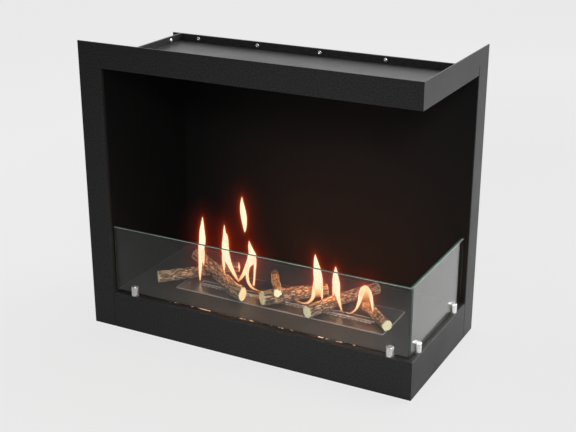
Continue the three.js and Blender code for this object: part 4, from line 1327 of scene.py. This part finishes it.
# %% Draw the flames
FLAMES = {
    "flame_1": [
        [(-161, 222, 0.4), (-162, 206, 3.4), (-163, 190, 5.8), (-163, 174, 7), (-164.5, 156, 6.8),
         (-166, 138, 5.6), (-168, 120, 4.2, 0.95), (-169.5, 100, 3, 0.8), (-170, 86, 2, 0.6),
         (-170, 77, 0.5, 0.3)],
        [(-161, 150, 4), (-161, 137, 3.4, 0.95), (-160.5, 126, 2.3, 0.9), (-160, 117, 0.5, 0.7)],
    ],
    "flame_2": [
        [(-110, 214, 0.4), (-110, 202, 2.4), (-109.5, 188, 4.4), (-109, 174, 6.8), (-108, 160, 8),
         (-104, 145, 7.4), (-98, 131, 5.4, 0.9), (-90, 116, 4.2, 0.75), (-82, 104, 3, 0.5),
         (-77, 97, 1.2, 0.3)],
        [(-105, 197, 0.4), (-104.5, 186, 2.6), (-104.5, 172, 3.6)],
        [(-112, 150, 3.6), (-112, 134, 3.4, 0.9), (-111.5, 120, 2.4, 0.7), (-111, 108, 0.5, 0.5)],
    ],
    "flame_3": [
        [(-53, 190, 0.4), (-51.5, 180, 3.6), (-48.5, 170, 5.8), (-46, 160, 8.8), (-48, 150, 8.6),
         (-54, 140, 6.4), (-60, 128, 4.8, 0.9), (-66, 116, 3.8, 0.75), (-73, 105, 2.8, 0.5),
         (-79, 98, 1.2, 0.3)],
        [(-53, 146, 5), (-56, 132, 4), (-57.5, 116, 3.4, 0.9), (-55, 102, 3.2, 0.75),
         (-49, 93, 3.2, 0.55), (-42, 89, 2.4, 0.4), (-33, 87, 1.6, 0.3), (-28, 84, 0.5, 0.2)],
        [(-40, 156, 4), (-39, 142, 3), (-40, 126, 2.2, 0.9), (-41, 110, 2.2, 0.75), (-43, 96, 2.6, 0.5)],
    ],
    "flame_3_spark": [
        [(-76, 139, 0.4, 0.9), (-76, 130, 1.8, 0.8), (-76, 119, 0.4, 0.6)],
    ],
    "flame_free": [
        [(-68, 281, 0.4), (-68, 268, 3.6), (-66.5, 254, 5.8), (-64.5, 240, 6.4), (-63, 226, 5),
         (-62.5, 214, 2.8), (-63, 207, 0.5, 0.9)],
    ],
    "flame_4": [
        [(94, 190, 0.4), (95, 180, 3.4), (97, 168, 5.8), (100, 154, 8.4), (102, 140, 9.2),
         (102.5, 126, 9, 0.9), (102.5, 114, 8, 0.5), (102, 104, 5.4, 0.2)],
        [(97, 136, 4.4), (94, 118, 4.2, 0.9), (91.5, 102, 3.8, 0.75), (86, 91, 3, 0.55),
         (76, 83, 2.2, 0.4), (64, 82, 1.6, 0.3), (52, 87, 1.4, 0.3), (45, 91, 1.2, 0.3)],
        [(107, 132, 4.6), (109, 118, 3.8, 0.9), (110.5, 106, 2.6, 0.7), (111, 96, 0.5, 0.5)],
    ],
    "flame_4_spark": [
        [(42, 103, 0.4, 0.9), (42, 97, 2.6, 0.9), (41, 91, 3, 0.7), (39, 84, 1, 0.4)],
    ],
    "flame_5": [
        [(138, 173, 0.4), (138.5, 163, 3.6), (139.5, 150, 6.4), (141, 137, 7.8), (142.5, 124, 6.6),
         (145.5, 111, 4.2, 0.9), (149.5, 97, 2.8, 0.7), (153, 86, 1.6, 0.5), (155.5, 80, 0.5, 0.3)],
        [(137, 132, 4), (135.5, 120, 2.6, 0.9), (134, 110, 0.5, 0.6)],
    ],
    "flame_6": [
        [(202, 147, 4, 0.75), (202.5, 141, 8.6, 0.68), (203, 133, 11.6, 0.45), (203, 124, 12.4, 0.26),
         (203, 114, 12, 0.16), (202, 104, 10, 0.09), (202, 96, 5, 0.04)],
        [(199, 145, 2), (196, 138, 4.4), (194, 128, 5.2), (191.5, 116, 3.8, 0.95), (188, 104, 2.9, 0.8),
         (183, 93, 2.1, 0.55), (174, 84, 1.7, 0.35), (165, 80, 0.5, 0.2)],
        [(206, 145, 2), (211, 137, 3.4), (214.5, 126, 3.4), (217, 113, 2.8, 0.9),
         (218.5, 103, 1.8, 0.75), (219, 95, 0.4, 0.5)],
    ],
}
SKINS = [  # growth in mm, cover, warmth
    (46, 0.0013, 0), (36, 0.0016, 0), (28, 0.002, 0), (22, 0.0025, 0),
    (17, 0.003, 0.02), (14, 0.003, 0.05), (11.5, 0.004, 0.1), (9.2, 0.006, 0.15),
    (7.2, 0.008, 0.2), (5.4, 0.012, 0.27), (3.8, 0.018, 0.33), (2.4, 0.025, 0.38),
    (1.1, 0.04, 0.45), (0, 0.7, 0.86), (-0.8, 0.85, 0.95), (-1.8, 0.9, 1),
]
GLOW_OF_COOL = 0.35
RING_POINTS = 20
TONGUE_RINGS = 36
TAPER_RINGS = 3
FLATNESS = 0.62
THINNEST = 0.06 * MM
flame_plane = slot_middle
flame_foot = plate_high.z + 0.3 * MM
LOOK_AHEAD = 0.02
ROUND_BELOW = 0.9 * MM
COOL_WARMTH = 0.45


def tongue_rings(tongue, grow):
    """Rings of one tongue, grown outward by `grow` metres, with the heat of each."""
    rows = [Vector((x * MM, z * MM, half * MM, *(heat or [1.0]))) for x, z, half, *heat in tongue]
    rings = []
    for k in range(TONGUE_RINGS):
        share = k / (TONGUE_RINGS - 1)
        x, z, half, heat = smooth_at(rows, share)
        before = smooth_at(rows, max(0, share - LOOK_AHEAD))
        after = smooth_at(rows, min(1, share + LOOK_AHEAD))
        run = Vector((after[0] - before[0], 0, after[1] - before[1])).normalized()
        across = Vector((run.z, 0, -run.x))
        to_end = min(k, TONGUE_RINGS - 1 - k) / TAPER_RINGS
        heat = max(0.0, min(1.0, heat))
        reach = grow * (GLOW_OF_COOL + (1 - GLOW_OF_COOL) * heat) * min(1.0, math.sqrt(to_end + 0.01))
        wide = max(THINNEST, half + reach)
        deep = max(THINNEST, max(FLATNESS * half, min(half, ROUND_BELOW)) + reach)
        push = run * (1 if share > 0.5 else -1) * grow * max(0.0, 1 - to_end)
        middle = Vector((x, flame_plane, z)) + push
        ring = []
        for j in range(RING_POINTS):
            angle = 2 * math.pi * j / RING_POINTS
            point = middle + across * (wide * math.cos(angle)) + Vector((0, deep * math.sin(angle), 0))
            point.z = max(point.z, flame_foot)
            ring.append(point)
        rings.append((ring, heat))
    return rings


def light_flame(name, tongues):
    points, faces, covers, warmths = [], [], [], []
    for grow, cover, warmth in SKINS:
        for tongue in tongues:
            if max(point[2] for point in tongue) < -2 * grow:
                continue
            rings = tongue_rings(tongue, grow * MM)
            new_points, new_faces = skin([ring for ring, _ in rings])
            offset = len(points)
            points += new_points
            faces += [tuple(i + offset for i in face) for face in new_faces]
            heats = [heat for _, heat in rings for _ in range(RING_POINTS)] + [rings[0][1], rings[-1][1]]
            covers += [cover * heat**1.5 for heat in heats]
            warmths += [warmth * (COOL_WARMTH + (1 - COOL_WARMTH) * heat) for heat in heats]
    obj = new_piece(name, points, faces, burning, "burner")
    write_numbers(obj, "cover", covers)
    write_numbers(obj, "warmth", warmths)
    obj.visible_shadow = False
    obj.visible_diffuse = False
    return obj


flames = [light_flame(name, tongues) for name, tongues in FLAMES.items()]
print("lit", len(flames), "flames of", sum(len(f.data.vertices) for f in flames), "points")


# %% [markdown]
# The skins light little by themselves, so each flame has a small warm lamp inside it. The lamps
# light the branches, the plate and the wall behind, and they ride with the burner.

# %% Firelight
FIRE_COLOUR = (1.0, 0.42, 0.13)
FIRE_LAMPS = {
    "flame_1": 0.02,
    "flame_2": 0.07,
    "flame_3": 0.16,
    "flame_4_spark": 0.08,
    "flame_4": 0.16,
    "flame_5": 0.05,
    "flame_6": 0.08,
}
FIRE_RADIUS = 9 * MM
FIRE_LEVEL = 0.4


def fire_lamp(name, watts):
    row = FLAMES[name][0]
    x, z = row[len(row) // 2][0], row[-1][1] + FIRE_LEVEL * (row[0][1] - row[-1][1])
    lamp = bpy.data.lights.new(f"{name}_lamp", "POINT")
    lamp.energy = watts
    lamp.color = FIRE_COLOUR
    lamp.shadow_soft_size = FIRE_RADIUS
    obj = bpy.data.objects.new(f"{name}_lamp", lamp)
    obj.location = (x * MM, flame_plane, z * MM)
    obj.visible_camera = obj.visible_transmission = obj.visible_glossy = False
    scene.collection.objects.link(obj)
    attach(obj, "burner")


def fire_strip(name, low_x, high_x, height, watts):
    """A long soft lamp along the row of flames, which shines down on the branches' backs."""
    middle = (low_x + high_x) / 2
    aim = (middle, flame_plane, 0.0)
    strip = soft_box(name, (middle, flame_plane, height), aim, (high_x - low_x, STRIP_WIDTH), watts)
    strip.rotation_euler = (0, 0, 0)
    strip.data.color = FIRE_COLOUR
    strip.visible_transmission = strip.visible_glossy = False
    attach(strip, "burner")


STRIP_WIDTH = 30 * MM
for name, watts in FIRE_LAMPS.items():
    fire_lamp(name, watts)
fire_strip("flame_row_lamp", -0.08, 0.18, 0.19, 0.38)
print("firelight of", round(sum(FIRE_LAMPS.values()), 2), "watts")


# %% [markdown]
# Last, the CAD model's box is printed.

# %% Print the CAD box
print("CAD box", [round(v, 4) for v in (*cad_low, *cad_high)])
